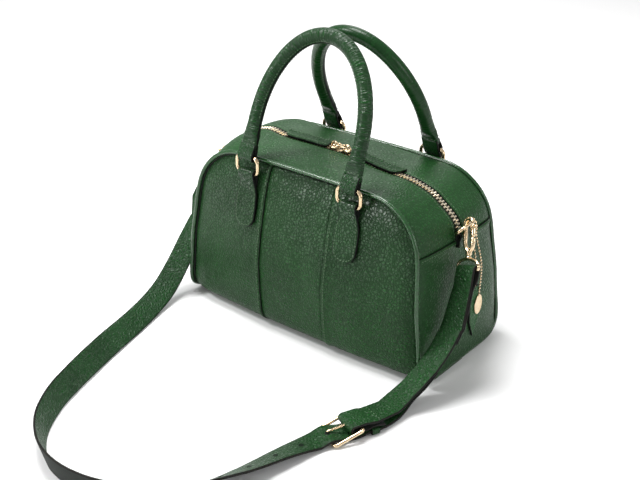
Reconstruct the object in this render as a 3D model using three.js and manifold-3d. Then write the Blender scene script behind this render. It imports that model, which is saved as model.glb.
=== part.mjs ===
// A bowling bag in pebbled leather: a body of three leather strips between piped edges, a zip over the
// top, two rolled handles on oval rings, and a buckled shoulder strap on two snap hooks.
// Millimetres, +Z up. The origin is the middle of the base, the front faces -Y and the right end +X.
import * as THREE from "three";
import { mergeVertices } from "three/addons/utils/BufferGeometryUtils.js";
import Module from "manifold-3d";

const wasm = await Module();
wasm.setup();

// Driving dimensions
const GAP = 0.3;
const WALL = 2;
const BODY = { halfWidth: 150, taper: 20, height: 173, cornerRadius: 55, halfDepth: 68.5, baseRadius: 22 };
const LEAN = { depth: 11.5, start: 75 };
const BELLY = { depth: 8.5, low: -25, sidePower: 2.6 };
const PIPING = { radius: 2, proud: 1, baseInset: 2.2 };
const SEAM = { centreX: 40, endZ: 127 };
const ZIP = { opening: 4.2, teeth: 2.8, tape: 3.9, tapeDrop: 1.2, tapeThickness: 1 };
const RING = { x: 62.3, outward: 7.3, z: 170, halfHeight: 8.3, halfWidth: 13.4, corner: 5.5, wire: 1.9 };
const HANDLE = { leg: 40, rise: 89.5, halfSpan: 62.8, tube: 7, frontLean: 22, backLean: 26, eye: 3.1 };
const TAB = { hole: 3.1 };
const DRING = { angle: 16.5, standOff: 4.3, halfWidth: 12, depth: 11, wire: 1.5 };
const DRING_RISE = { right: 52, left: 15 };
const END_TAB = { halfWidth: 7.9, hole: 2.1 };
const HOOK = { halfWidth: 5.4, length: 34.5, wire: 1.7, stem: 2.8 };
const HOOK_HANG = { leanX: 8.3, leanY: -12, inset: 1.2, slack: 1.6 };
const GATE = { foot: 16.4, end: 28.6, radius: 1.8, noseAngle: 27 };
const EYE = { drop: 13, halfWidth: 14.6, wire: 1.5 };
const STRAP = { width: 25, thickness: 2.6 };
const BUCKLE = { x: 141.8, y: -157.5, barZ: 10, length: 28, drop: 7.6, halfWidth: 14.6, wire: 1.7 };
const TAG = { y: 12, hangY: 9, top: 77, halfWidth: 9.2, length: 55, thickness: 2.2 };
const CHARM = { half: 6.6, length: 21, thickness: 1.5, below: 21, aside: 4 };
const FLAP = { innerX: 15, outerX: 72, front: -4.6, back: 10, round: 9, thickness: 2.2 };
const SLIDER = { x: 7.6, half: 5.4, wide: 4.6, narrow: 3.4, height: 3 };
const BAIL = { reach: 3.6, rise: 3.4, half: 1.1 };
const PULL = { armHalf: 2.5, wire: 0.7, length: 6.9 };

// How far the gusset bulges past the piping, from the base of an end panel to the middle of the top
const GUSSET_CROWN = [
  { along: 0.0, right: 2.0, left: 2.0 },
  { along: 0.18, right: 7.0, left: 7.0 },
  { along: 0.42, right: 4.2, left: 4.2 },
  { along: 0.49, right: 4.4, left: 4.4 },
  { along: 0.58, right: -0.8, left: 5.6 },
  { along: 0.67, right: -2.4, left: 6.1 },
  { along: 0.76, right: -0.8, left: 8.6 },
  { along: 1.0, right: 6.0, left: 6.0 },
];

// Soft dents and swells of the front and back leather: place, reach and depth
const DENTS = [
  { x: -98, z: 70, reachX: 30, reachZ: 62, depth: 2.2 },
  { x: 98, z: 62, reachX: 26, reachZ: 60, depth: 2.6 },
  { x: 12, z: 92, reachX: 15, reachZ: 70, depth: 1.6 },
  { x: -124, z: 38, reachX: 16, reachZ: 34, depth: -1.4 },
];

// A handle's cross-section from the fold round its ring up to the rolled tube
const HANDLE_SECTIONS = [
  { along: -5.0, width: 17.4, thickness: 3.2 },
  { along: -3.4, width: 18.5, thickness: 8.0 },
  { along: 0.0, width: 18.5, thickness: 10.2 },
  { along: 4.5, width: 18.5, thickness: 9.2 },
  { along: 9.0, width: 18.5, thickness: 6.2 },
  { along: 17.0, width: 18.0, thickness: 7.4 },
  { along: 26.0, width: 15.0, thickness: 12.8 },
  { along: 34.0, width: 14.0, thickness: 14.0 },
];

// A handle tab below its ring bar: distances of its front and back faces from the panel, and half width
const TAB_SECTIONS = [
  { below: -5.0, back: 6.5, front: 8.1, half: 9.4 },
  { below: -3.4, back: 3.5, front: 11.1, half: 10 },
  { below: 0.0, back: 2.2, front: 12.4, half: 10 },
  { below: 4.5, back: 1.4, front: 10.8, half: 10 },
  { below: 9.0, back: 0.3, front: 6.6, half: 10 },
  { below: 14.0, back: 0.3, front: 3.8, half: 10.6 },
  { below: 22.0, back: 0.3, front: 3.5, half: 13 },
  { below: 33.0, back: 0.3, front: 3.5, half: 13.6 },
  { below: 43.0, back: 0.3, front: 3.5, half: 13.4 },
  { below: 49.0, back: 0.3, front: 3.5, half: 11.2 },
  { below: 53.0, back: 0.3, front: 3.5, half: 7.2 },
  { below: 55.0, back: 0.3, front: 3.5, half: 2.4 },
];

// An end tab along the gusset: distance from the D-ring bar, and its faces' distances from the leather
const END_TAB_SECTIONS = [
  { below: -3.9, back: 3.7, front: 5.1 },
  { below: -2.6, back: 1.4, front: 7.0 },
  { below: 0.0, back: 0.4, front: 7.8 },
  { below: 3.4, back: 0.3, front: 7.0 },
  { below: 7.0, back: 0.3, front: 4.0 },
  { below: 13.0, back: 0.3, front: 3.4 },
];

// The long strap from the left eye round the floor to the buckle: tilt is the outer edge's lift in
// degrees, and lift is the height of its middle over a strap that lies on the floor
const LONG_ROUTE = [
  { x: -161.5, y: -38, tilt: 15, lift: 71 },
  { x: -162, y: -58, tilt: 18, lift: 48 },
  { x: -160.5, y: -79, tilt: 22, lift: 25 },
  { x: -156, y: -103, tilt: 26, lift: 8.5 },
  { x: -148, y: -131, tilt: 30, lift: 1.8 },
  { x: -137, y: -165, tilt: 35, lift: 0 },
  { x: -124, y: -207, tilt: 42, lift: 0 },
  { x: -112, y: -241, tilt: 50, lift: 0 },
  { x: -101, y: -270, tilt: 57, lift: 0 },
  { x: -86, y: -304, tilt: 64, lift: 0 },
  { x: -60, y: -339, tilt: 72, lift: 0 },
  { x: -22, y: -362, tilt: 78, lift: 0 },
  { x: 22, y: -364, tilt: 76, lift: 0 },
  { x: 62, y: -345, tilt: 64, lift: 0 },
  { x: 92, y: -310, tilt: 46, lift: 0 },
  { x: 108.5, y: -268, tilt: 30, lift: 0 },
  { x: 113, y: -250, tilt: 24, lift: 0 },
  { x: 118, y: -226, tilt: 17, lift: 0 },
  { x: 122.5, y: -207, tilt: 9, lift: 0 },
  { x: 126.2, y: -194.5, tilt: 2, lift: 1 },
  { x: 130.8, y: -183.3, tilt: 0, lift: 4.6 },
  { x: 137.1, y: -168.5, tilt: 0, lift: 0.8 },
  { x: 141.8, y: -157.5, tilt: 0, lift: 0.6 },
  { x: 144.5, y: -151.1, tilt: 0, lift: 1.9 },
  { x: 149.2, y: -140, tilt: 0, lift: 1.9 },
  { x: 151, y: -121, tilt: 2, lift: 0.6 },
  { x: 151.5, y: -104, tilt: 4, lift: 5.2 },
  { x: 156.9, y: -87.7, tilt: 5, lift: 15.8 },
  { x: 161.4, y: -73, tilt: 6, lift: 28 },
];

// The short strap from the right eye down to the buckle, in the same columns
const SHORT_ROUTE = [
  { x: 165, y: -43.2, tilt: 20, lift: 57.4 },
  { x: 164.1, y: -58.6, tilt: 12, lift: 43.3 },
  { x: 161.4, y: -75.1, tilt: 6, lift: 30.7 },
  { x: 156.9, y: -89.8, tilt: 5, lift: 19.1 },
  { x: 151.8, y: -106, tilt: 4, lift: 9.4 },
  { x: 151, y: -121, tilt: 2, lift: 7.2 },
];

// Materials
const leather = new THREE.MeshStandardMaterial({ color: 0x1f4a2c, roughness: 0.5, metalness: 0 });
const strapLeather = new THREE.MeshStandardMaterial({ color: 0x235a35, roughness: 0.5, metalness: 0 });
const gold = new THREE.MeshStandardMaterial({ color: 0xe3cfa2, roughness: 0.22, metalness: 1 });
const zipMetal = new THREE.MeshStandardMaterial({ color: 0xd9bf92, roughness: 0.3, metalness: 1 });

const bag = new THREE.Group();

// Adds one named piece to the bag.
function piece(name, geometry, material) {
  const mesh = new THREE.Mesh(geometry, material);
  mesh.name = name;
  bag.add(mesh);
  return mesh;
}

const vec = (x, y, z) => new THREE.Vector3(x, y, z);
const radians = THREE.MathUtils.degToRad;
const lerp = THREE.MathUtils.lerp;
const clamp = THREE.MathUtils.clamp;

// The values from a to b in a number of equal steps, both ends included.
function steps(a, b, count) {
  return Array.from({ length: count + 1 }, (_, i) => lerp(a, b, i / count));
}

// The place a*u + b*v + c*w from an origin.
function at(origin, ...terms) {
  const point = origin.clone();
  for (const [axis, amount] of terms) point.addScaledVector(axis, amount);
  return point;
}

// Six times the signed volume inside an indexed triangle mesh.
function signedVolume(points, index) {
  let sum = 0;
  for (let i = 0; i < index.length; i += 3) {
    const [a, b, c] = [points[index[i]], points[index[i + 1]], points[index[i + 2]]];
    sum += a.dot(b.clone().cross(c));
  }
  return sum;
}

// A geometry from points and quads or triangles, with its faces turned outwards.
function closedGeometry(points, faces) {
  const index = faces.flatMap((f) => (f.length === 4 ? [f[0], f[1], f[2], f[0], f[2], f[3]] : f));
  if (signedVolume(points, index) < 0) index.reverse();
  return new THREE.BufferGeometry().setFromPoints(points).setIndex(index);
}

// A wall between two grids of points that match row by row and column by column.
function wall(outer, inner) {
  const rows = outer.length;
  const cols = outer[0].length;
  const points = [...outer.flat(), ...inner.flat()];
  const id = (layer, r, c) => layer * rows * cols + r * cols + c;
  const faces = [];
  for (let r = 0; r + 1 < rows; r++) {
    for (let c = 0; c + 1 < cols; c++) {
      faces.push([id(0, r, c), id(0, r, c + 1), id(0, r + 1, c + 1), id(0, r + 1, c)]);
      faces.push([id(1, r, c), id(1, r + 1, c), id(1, r + 1, c + 1), id(1, r, c + 1)]);
    }
    faces.push([id(0, r, 0), id(0, r + 1, 0), id(1, r + 1, 0), id(1, r, 0)]);
    faces.push([id(0, r, cols - 1), id(1, r, cols - 1), id(1, r + 1, cols - 1), id(0, r + 1, cols - 1)]);
  }
  for (let c = 0; c + 1 < cols; c++) {
    faces.push([id(0, 0, c), id(1, 0, c), id(1, 0, c + 1), id(0, 0, c + 1)]);
    faces.push([id(0, rows - 1, c), id(0, rows - 1, c + 1), id(1, rows - 1, c + 1), id(1, rows - 1, c)]);
  }
  return closedGeometry(points, faces);
}

// A solid through rings of points, closed on itself or capped at both ends.
function loft(rings, closed = false) {
  const n = rings[0].length;
  const points = rings.flat();
  const faces = [];
  const last = closed ? rings.length : rings.length - 1;
  for (let r = 0; r < last; r++) {
    const next = (r + 1) % rings.length;
    for (let i = 0; i < n; i++) {
      const j = (i + 1) % n;
      faces.push([r * n + i, r * n + j, next * n + j, next * n + i]);
    }
  }
  if (!closed) {
    const end = (rings.length - 1) * n;
    for (let i = 1; i + 1 < n; i++) {
      faces.push([0, i + 1, i]);
      faces.push([end, end + i, end + i + 1]);
    }
  }
  return closedGeometry(points, faces);
}

// A round wire along points that lie in one plane, with that plane's normal and one or more radii.
function planarWire(points, normal, radius, sides, closed) {
  const count = points.length;
  const rings = points.map((p, i) => {
    const before = points[closed ? (i + count - 1) % count : Math.max(i - 1, 0)];
    const after = points[closed ? (i + 1) % count : Math.min(i + 1, count - 1)];
    const side = after.clone().sub(before).normalize().cross(normal);
    const size = Array.isArray(radius) ? radius[i] : radius;
    return Array.from({ length: sides }, (_, k) => {
      const angle = (2 * Math.PI * (k + 0.5)) / sides;
      return at(p, [side, size * Math.cos(angle)], [normal, size * Math.sin(angle)]);
    });
  });
  return loft(rings, closed);
}

// Points round a circle arc in the plane of two axes.
function arcPoints(centre, u, v, radius, from, to, count) {
  return steps(from, to, count).map((deg) => {
    const angle = radians(deg);
    return at(centre, [u, radius * Math.cos(angle)], [v, radius * Math.sin(angle)]);
  });
}

// A closed geometry as a solid that can be joined and cut.
function solid(geometry) {
  const bare = geometry.index ? geometry.toNonIndexed() : geometry.clone();
  bare.deleteAttribute("normal");
  bare.deleteAttribute("uv");
  const merged = mergeVertices(bare, 1e-4);
  const vertProperties = merged.attributes.position.array;
  const triVerts = new Uint32Array(merged.index.array);
  return new wasm.Manifold(new wasm.Mesh({ numProp: 3, vertProperties, triVerts }));
}

// The geometry of a joined or cut solid.
function geometryOf(made) {
  const mesh = made.getMesh();
  return new THREE.BufferGeometry()
    .setAttribute("position", new THREE.BufferAttribute(mesh.vertProperties, 3))
    .setIndex(new THREE.BufferAttribute(mesh.triVerts, 1));
}

const cut = (geometry, ...tools) =>
  geometryOf(tools.reduce((made, tool) => made.subtract(solid(tool)), solid(geometry)));
const join = (...geometries) =>
  geometryOf(geometries.slice(1).reduce((made, g) => made.add(solid(g)), solid(geometries[0])));

// A cylinder along an axis through a centre.
function rod(centre, axis, radius, length, sides = 10) {
  const turn = new THREE.Quaternion().setFromUnitVectors(vec(0, 1, 0), axis.clone().normalize());
  return new THREE.CylinderGeometry(radius, radius, length, sides)
    .applyQuaternion(turn)
    .translate(centre.x, centre.y, centre.z);
}

// The same geometry on the left side of the bag.
function mirrored(geometry) {
  const flipped = geometry.index ? geometry.clone() : mergeVertices(geometry);
  flipped.scale(-1, 1, 1);
  const index = Array.from(flipped.index.array).reverse();
  return flipped.setIndex(index);
}

// Body outline: a sloped side, a round top corner and a level top, as seen from the front
const sideLength = Math.hypot(BODY.taper, BODY.height);
const sideUp = { x: -BODY.taper / sideLength, z: BODY.height / sideLength };
const cornerZ = BODY.height - BODY.cornerRadius;
const cornerReach = (cornerZ - BODY.cornerRadius * sideUp.x) / sideUp.z;
const cornerX = BODY.halfWidth + cornerReach * sideUp.x - BODY.cornerRadius * sideUp.z;
const tangentAngle = Math.asin(-sideUp.x);
const tangentZ = cornerZ + BODY.cornerRadius * Math.sin(tangentAngle);

// Half the body's width at a height, for the outline moved out (or in, if negative) by an amount.
function halfWidthAt(z, out = 0) {
  const radius = BODY.cornerRadius + out;
  const top = cornerZ + radius * Math.sin(tangentAngle);
  if (z <= top) return BODY.halfWidth + out / sideUp.z + (z * sideUp.x) / sideUp.z;
  return cornerX + Math.sqrt(Math.max(radius ** 2 - (z - cornerZ) ** 2, 0));
}

// Half the depth between the front and back piping at a height.
function halfDepthAt(z) {
  return BODY.halfDepth - LEAN.depth * clamp((z - LEAN.start) / (BODY.height - LEAN.start), 0, 1);
}

// How far the front or back leather stands out past its edges.
function bellyAt(x, z) {
  const rise = Math.sin(Math.PI * clamp((z - BELLY.low) / (BODY.height - BELLY.low), 0, 1));
  const across = 1 - Math.min(Math.abs(x) / halfWidthAt(Math.max(z, 0)), 1) ** BELLY.sidePower;
  let swell = BELLY.depth * rise * Math.max(across, 0);
  for (const dent of DENTS) {
    const far = ((x - dent.x) / dent.reachX) ** 2 + ((z - dent.z) / dent.reachZ) ** 2;
    swell -= dent.depth * Math.exp(-2 * far) * Math.min(1, 3 * Math.max(across, 0));
  }
  return swell;
}

// The outer face of the front leather at a place, as a distance forwards of the middle.
function frontFace(x, z) {
  return halfDepthAt(z) + PIPING.proud + bellyAt(x, z);
}

// The rows that a body strip passes from the front top edge, under the base, to the back top edge.
function bodyRows() {
  const inset = PIPING.radius + GAP;
  const radius = BODY.cornerRadius - inset;
  const half = steps(90, THREE.MathUtils.radToDeg(tangentAngle), 6).map((deg) => ({
    z: cornerZ + radius * Math.sin(radians(deg)),
    turn: 0,
  }));
  for (const z of steps(tangentZ, BODY.baseRadius, 4).slice(1)) half.push({ z, turn: 0 });
  for (const turn of steps(0, 90, 4).slice(1)) half.push({ z: BODY.baseRadius, turn });
  const front = half.map((row) => ({ ...row, side: -1 }));
  const back = half.map((row) => ({ ...row, side: 1 })).reverse();
  return [...front, ...back];
}

// A point on a body row, sunk below the outer face by an amount.
function bodyPoint(row, x, sunk) {
  const swell = bellyAt(x, row.z);
  if (row.turn === 0) return vec(x, row.side * (halfDepthAt(row.z) + PIPING.proud + swell - sunk), row.z);
  const angle = radians(row.turn);
  const reach = BODY.baseRadius - sunk + swell * Math.cos(angle) ** 2;
  const middle = BODY.halfDepth + PIPING.proud - BODY.baseRadius;
  return vec(x, row.side * (middle + reach * Math.cos(angle)), BODY.baseRadius - reach * Math.sin(angle));
}

// One strip of body leather between two edges, each given as a function of the row's half width.
function bodyStrip(name, from, to, columns) {
  const rows = bodyRows();
  const inset = PIPING.radius + GAP;
  const grid = (sunk) =>
    rows.map((row) => {
      const low = row.turn === 0 ? row.z : bodyPoint(row, 0, 0).z;
      const half = halfWidthAt(low, -inset);
      return steps(from(half), to(half), columns).map((x) => bodyPoint(row, x, sunk));
    });
  piece(name, wall(grid(0), grid(WALL)), leather);
}

const seamGap = GAP / 2;
bodyStrip("left_body_panel", (half) => -half, () => -SEAM.centreX - seamGap, 4);
bodyStrip("centre_body_panel", () => -SEAM.centreX + seamGap, () => SEAM.centreX - seamGap, 4);
bodyStrip("right_body_panel", () => SEAM.centreX + seamGap, (half) => half, 4);

// Piping: one welt round the front edge and one round the back, meeting under the ends
function pipingCurve(side) {
  const points = [];
  const low = BODY.halfDepth - BODY.baseRadius;
  const addBase = (sx, turns) => {
    for (const turn of turns) {
      const angle = radians(turn);
      const inset = lerp(PIPING.proud, PIPING.baseInset, Math.sin(angle) ** 2);
      const reach = BODY.baseRadius + PIPING.proud - inset;
      const z = BODY.baseRadius - (BODY.baseRadius - inset) * Math.sin(angle);
      points.push(vec(sx * halfWidthAt(z), side * (low + reach * Math.cos(angle)), z));
    }
  };
  for (const y of [GAP / 2, low - 4]) points.push(vec(-halfWidthAt(0), side * y, PIPING.baseInset));
  addBase(-1, [90, 60, 30, 0]);
  for (const z of steps(BODY.baseRadius, tangentZ, 4).slice(1)) {
    points.push(vec(-halfWidthAt(z), side * halfDepthAt(z), z));
  }
  const angles = steps(THREE.MathUtils.radToDeg(tangentAngle), 90, 6).slice(1);
  for (const deg of angles) {
    const z = cornerZ + BODY.cornerRadius * Math.sin(radians(deg));
    const x = cornerX + BODY.cornerRadius * Math.cos(radians(deg));
    points.push(vec(-x, side * halfDepthAt(z), z));
  }
  const right = points.map((p) => vec(-p.x, p.y, p.z)).reverse();
  return new THREE.CatmullRomCurve3([...points, ...right], false, "centripetal");
}

// A round section with a number of flat sides.
function roundShape(radius, sides) {
  const corners = Array.from({ length: sides }, (_, i) => {
    const angle = (2 * Math.PI * i) / sides;
    return new THREE.Vector2(radius * Math.cos(angle), radius * Math.sin(angle));
  });
  return new THREE.Shape(corners);
}

for (const [name, side] of [["front_piping", -1], ["back_piping", 1]]) {
  const tube = { steps: 58, extrudePath: pipingCurve(side), bevelEnabled: false };
  piece(name, new THREE.ExtrudeGeometry(roundShape(PIPING.radius, 6), tube), leather);
}

// Gusset: the strip that runs up one end, over the top and down the other end
const sideRun = tangentZ / sideUp.z;
const cornerRun = BODY.cornerRadius * (Math.PI / 2 - tangentAngle);
const halfRun = sideRun + cornerRun + cornerX;

// The outline point and outward direction at a distance along the right half of the gusset.
function gussetLine(run) {
  if (run <= sideRun) {
    const t = run / sideRun;
    return { x: lerp(BODY.halfWidth, halfWidthAt(tangentZ), t), z: t * tangentZ, nx: sideUp.z, nz: -sideUp.x };
  }
  if (run <= sideRun + cornerRun) {
    const angle = tangentAngle + (run - sideRun) / BODY.cornerRadius;
    const [nx, nz] = [Math.cos(angle), Math.sin(angle)];
    return { x: cornerX + BODY.cornerRadius * nx, z: cornerZ + BODY.cornerRadius * nz, nx, nz };
  }
  return { x: halfRun - run, z: BODY.height, nx: 0, nz: 1 };
}

// The gusset's bulge at its middle on one end, smooth between the rows of the table.
function crownAt(run, end) {
  const along = clamp(run / halfRun, 0, 1);
  const next = Math.max(1, GUSSET_CROWN.findIndex((row) => row.along >= along));
  const [a, b] = [GUSSET_CROWN[next - 1], GUSSET_CROWN[next]];
  return lerp(a[end], b[end], THREE.MathUtils.smoothstep(along, a.along, b.along));
}

// A point on the gusset at a run from the right base edge, raised above the outer face by an amount.
function gussetPoint(run, y, raised) {
  const sx = run > halfRun ? -1 : 1;
  const here = Math.min(run, 2 * halfRun - run);
  const line = gussetLine(here);
  const across = Math.max(1 - (y / halfDepthAt(line.z)) ** 2, 0);
  const out = PIPING.proud + crownAt(here, sx > 0 ? "right" : "left") * across + raised;
  return vec(sx * (line.x + line.nx * out), y, line.z + line.nz * out);
}

const endRun = SEAM.endZ / sideUp.z;
const gussetInset = PIPING.radius + GAP + 0.15;

// An end panel, from its rounded base corners up to the seam.
function endPanel(name, sx) {
  const lowest = PIPING.baseInset + gussetInset + 0.3;
  const heights = [lowest, 5.8, 8.6, 13.5, ...steps(BODY.baseRadius, SEAM.endZ - seamGap, 5)];
  const middle = BODY.halfDepth - BODY.baseRadius;
  const corner = { y: BODY.baseRadius - gussetInset - 0.4, z: BODY.baseRadius - lowest };
  const grid = (raised) =>
    heights.map((z) => {
      const low = clamp((BODY.baseRadius - z) / corner.z, 0, 1);
      const half = low > 0 ? middle + corner.y * Math.sqrt(1 - low ** 2) : halfDepthAt(z) - gussetInset;
      const run = sx > 0 ? z / sideUp.z : 2 * halfRun - z / sideUp.z;
      return steps(-half, half, 8).map((y) => gussetPoint(run, y, raised));
    });
  piece(name, wall(grid(0), grid(-WALL)), leather);
}

endPanel("left_end_panel", -1);
endPanel("right_end_panel", 1);

// The runs along the whole top of the gusset, from the right seam to the left seam.
function topRuns(from, topCount) {
  const right = [from];
  if (from < sideRun) right.push(sideRun);
  right.push(...steps(sideRun, sideRun + cornerRun, 6).slice(1));
  right.push(...steps(sideRun + cornerRun, halfRun, topCount).slice(1));
  const left = right.slice(0, -1).map((run) => 2 * halfRun - run);
  return [...right, ...left.reverse()];
}

for (const [name, side] of [["front_zip_strip", -1], ["back_zip_strip", 1]]) {
  const grid = (raised) =>
    topRuns(endRun + seamGap, 4).map((run) => {
      const outer = halfDepthAt(gussetLine(Math.min(run, 2 * halfRun - run)).z) - gussetInset;
      return steps(ZIP.opening, outer, 4).map((y) => gussetPoint(run, side * y, raised));
    });
  piece(name, wall(grid(0), grid(-WALL)), leather);
}

// Zip: tape and teeth in one band along the top
const zipSection = [
  [-ZIP.tape, -ZIP.tapeDrop - ZIP.tapeThickness],
  [ZIP.tape, -ZIP.tapeDrop - ZIP.tapeThickness],
  [ZIP.tape, -ZIP.tapeDrop],
  [ZIP.teeth, -ZIP.tapeDrop],
  [ZIP.teeth, 0],
  [-ZIP.teeth, 0],
  [-ZIP.teeth, -ZIP.tapeDrop],
  [-ZIP.tape, -ZIP.tapeDrop],
];
const zipRings = topRuns(endRun + seamGap, 5).map((run) =>
  zipSection.map(([y, raised]) => gussetPoint(run, y, raised)),
);
piece("zip_chain", loft(zipRings), zipMetal);

// Zip flaps: tongues on the back strip that lie over the teeth, each with a round outer end
for (const [name, sx] of [["left_zip_flap", -1], ["right_zip_flap", 1]]) {
  const roundFrom = FLAP.outerX - FLAP.round;
  const xs = [FLAP.innerX, ...steps(FLAP.innerX + 17, roundFrom, 2)];
  xs.push(...[0.4, 0.75, 0.93, 1].map((share) => roundFrom + FLAP.round * share));
  const grid = (raised) =>
    xs.map((x) => {
      const into = clamp((x - roundFrom) / FLAP.round, 0, 0.96);
      const front = FLAP.back - 1 - (FLAP.back - 1 - FLAP.front) * Math.sqrt(1 - into ** 2);
      return steps(front, FLAP.back, 3).map((y) => gussetPoint(halfRun - sx * x, y, raised));
    });
  piece(name, wall(grid(GAP + FLAP.thickness), grid(GAP)), leather);
}

// Zip sliders with an arched bail, and pulls that hinge under the bail
for (const [side, sx] of [["left", -1], ["right", 1]]) {
  const seat = gussetPoint(halfRun - sx * SLIDER.x, 0, GAP);
  const plan = new THREE.Shape([
    new THREE.Vector2(-SLIDER.half, -SLIDER.narrow),
    new THREE.Vector2(SLIDER.half, -SLIDER.wide),
    new THREE.Vector2(SLIDER.half, SLIDER.wide),
    new THREE.Vector2(-SLIDER.half, SLIDER.narrow),
  ]);
  const body = new THREE.ExtrudeGeometry(plan, { depth: SLIDER.height, bevelEnabled: false });
  const reach = BAIL.reach;
  const bail = new THREE.Shape();
  bail.moveTo(-reach - 1.2, -0.5);
  bail.lineTo(-reach, BAIL.rise + 0.2);
  bail.lineTo(-reach + 1.2, BAIL.rise + 1);
  bail.lineTo(reach - 1.2, BAIL.rise + 1);
  bail.lineTo(reach, BAIL.rise + 0.2);
  bail.lineTo(reach + 1.2, -0.5);
  bail.lineTo(reach, -0.5);
  bail.lineTo(reach - 1.4, BAIL.rise - 0.4);
  bail.lineTo(-reach + 1.4, BAIL.rise - 0.4);
  bail.lineTo(-reach, -0.5);
  const arch = new THREE.ExtrudeGeometry(bail, { depth: 2 * BAIL.half, bevelEnabled: false })
    .translate(0, 0, -BAIL.half)
    .rotateX(Math.PI / 2)
    .translate(0, 0, SLIDER.height);
  const slider = join(body, arch).rotateZ(sx > 0 ? 0 : Math.PI).translate(seat.x, seat.y, seat.z);
  piece(`${side}_zip_slider`, slider, gold);

  const pin = vec(seat.x, seat.y, seat.z + SLIDER.height + 1.6);
  const inward = vec(-sx, 0, 0);
  const across = vec(0, 1, 0);
  const loopPoints = [
    at(pin, [across, -PULL.armHalf]),
    at(pin, [across, PULL.armHalf]),
    at(pin, [across, PULL.armHalf], [inward, PULL.length * 0.35]),
    at(pin, [across, PULL.armHalf + 0.6], [inward, PULL.length * 0.7]),
    at(pin, [across, PULL.armHalf * 0.55], [inward, PULL.length]),
    at(pin, [across, -PULL.armHalf * 0.55], [inward, PULL.length]),
    at(pin, [across, -PULL.armHalf - 0.6], [inward, PULL.length * 0.7]),
    at(pin, [across, -PULL.armHalf], [inward, PULL.length * 0.35]),
  ];
  piece(`${side}_zip_pull`, planarWire(loopPoints, vec(0, 0, 1), PULL.wire, 6, true), gold);
}

// Handle fittings on the front (side -1) and back (side 1): tabs, rings and the handles themselves
const lowBarZ = RING.z - RING.halfHeight;
const highBarZ = RING.z + RING.halfHeight;
const barY = frontFace(RING.x, lowBarZ) + RING.outward;

// A tongue of leather folded round the lower bar of a ring and sewn down the panel.
function handleTab(sx, side) {
  const grid = (face) =>
    TAB_SECTIONS.map((row) =>
      steps(-row.half, row.half, 3).map((dx) => {
        const x = sx * RING.x + dx;
        const z = lowBarZ - row.below;
        const seat = row.below > 9 ? frontFace(x, z) : frontFace(sx * RING.x, Math.max(z, lowBarZ - 9));
        const held = row.below < 0 ? frontFace(RING.x, lowBarZ) : seat;
        return vec(x, side * (held + row[face]), z);
      }),
    );
  const hole = rod(vec(sx * RING.x, side * barY, lowBarZ), vec(1, 0, 0), TAB.hole, 40);
  return cut(wall(grid("front"), grid("back")), hole);
}

// A closed wire rectangle with rounded corners, from its middle and two half sizes.
function wireRectangle(middle, u, v, halfU, halfV, round, radius, perCorner) {
  const corners = [[1, 1], [-1, 1], [-1, -1], [1, -1]];
  const points = corners.flatMap(([su, sv], k) => {
    const centre = at(middle, [u, su * (halfU - round)], [v, sv * (halfV - round)]);
    return arcPoints(centre, u, v, round, 90 * k, 90 * (k + 1), perCorner);
  });
  return planarWire(points, u.clone().cross(v), radius, 6, true);
}

// An oval ring with straight upper and lower bars.
function handleRing(sx, side) {
  const middle = vec(sx * RING.x, side * barY, RING.z);
  const [u, v] = [vec(1, 0, 0), vec(0, 0, 1)];
  return wireRectangle(middle, u, v, RING.halfWidth, RING.halfHeight, RING.corner, RING.wire, 3);
}

// A rolled handle: a tube on two legs whose flat ends fold round the upper bars of its rings.
function handle(side, lean) {
  const base = vec(0, side * barY, highBarZ);
  const up = vec(0, -side * Math.sin(radians(lean)), Math.cos(radians(lean)));
  const across = vec(1, 0, 0);
  const thick = across.clone().cross(up);
  const ring = (centre, wide, width, thickness) => {
    const square = clamp((width / thickness - 1) * 2, 0, 1);
    return Array.from({ length: 8 }, (_, k) => {
      const angle = (2 * Math.PI * (k + 0.5)) / 8;
      const power = lerp(1, 0.55, square);
      const c = Math.sign(Math.cos(angle)) * Math.abs(Math.cos(angle)) ** power;
      const s = Math.sign(Math.sin(angle)) * Math.abs(Math.sin(angle)) ** power;
      return at(centre, [wide, (width / 2) * c], [thick, (thickness / 2) * s]);
    });
  };
  const leg = (sx) =>
    HANDLE_SECTIONS.map((row) =>
      ring(at(base, [across, sx * HANDLE.halfSpan], [up, row.along]), across, row.width, row.thickness),
    );
  const arch = steps(0, 180, 14).map((deg) => {
    const [c, s] = [Math.cos(radians(deg)), Math.sin(radians(deg))];
    const rise = HANDLE.rise * s;
    const centre = at(base, [across, HANDLE.halfSpan * c], [up, HANDLE.leg + rise]);
    const wide = across.clone().multiplyScalar(HANDLE.rise * c);
    wide.addScaledVector(up, HANDLE.halfSpan * s).normalize();
    return ring(centre, wide, 2 * HANDLE.tube, 2 * HANDLE.tube);
  });
  const left = leg(-1).map((points) => points.map((_, k) => points[(11 - k) % 8]));
  const body = loft([...leg(1), ...arch, ...left.reverse()]);
  const holes = [1, -1].map((sx) => rod(vec(sx * HANDLE.halfSpan, base.y, base.z), across, HANDLE.eye, 40));
  return cut(body, ...holes);
}

for (const [face, side] of [["front", -1], ["back", 1]]) {
  for (const [end, sx] of [["left", -1], ["right", 1]]) {
    piece(`${face}_${end}_handle_tab`, handleTab(sx, side), leather);
    piece(`${face}_${end}_handle_ring`, handleRing(sx, side), gold);
  }
}
piece("front_handle", handle(-1, HANDLE.frontLean), leather);
piece("back_handle", handle(1, HANDLE.backLean), leather);

// Strap fittings, worked out on the right end; the left end's are mirrored, with its D-ring hanging lower
const ringRun = sideRun + (radians(DRING.angle) - tangentAngle) * BODY.cornerRadius;
const dringBar = gussetPoint(ringRun, 0, DRING.standOff);
const depthAxis = vec(0, 1, 0);

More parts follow.
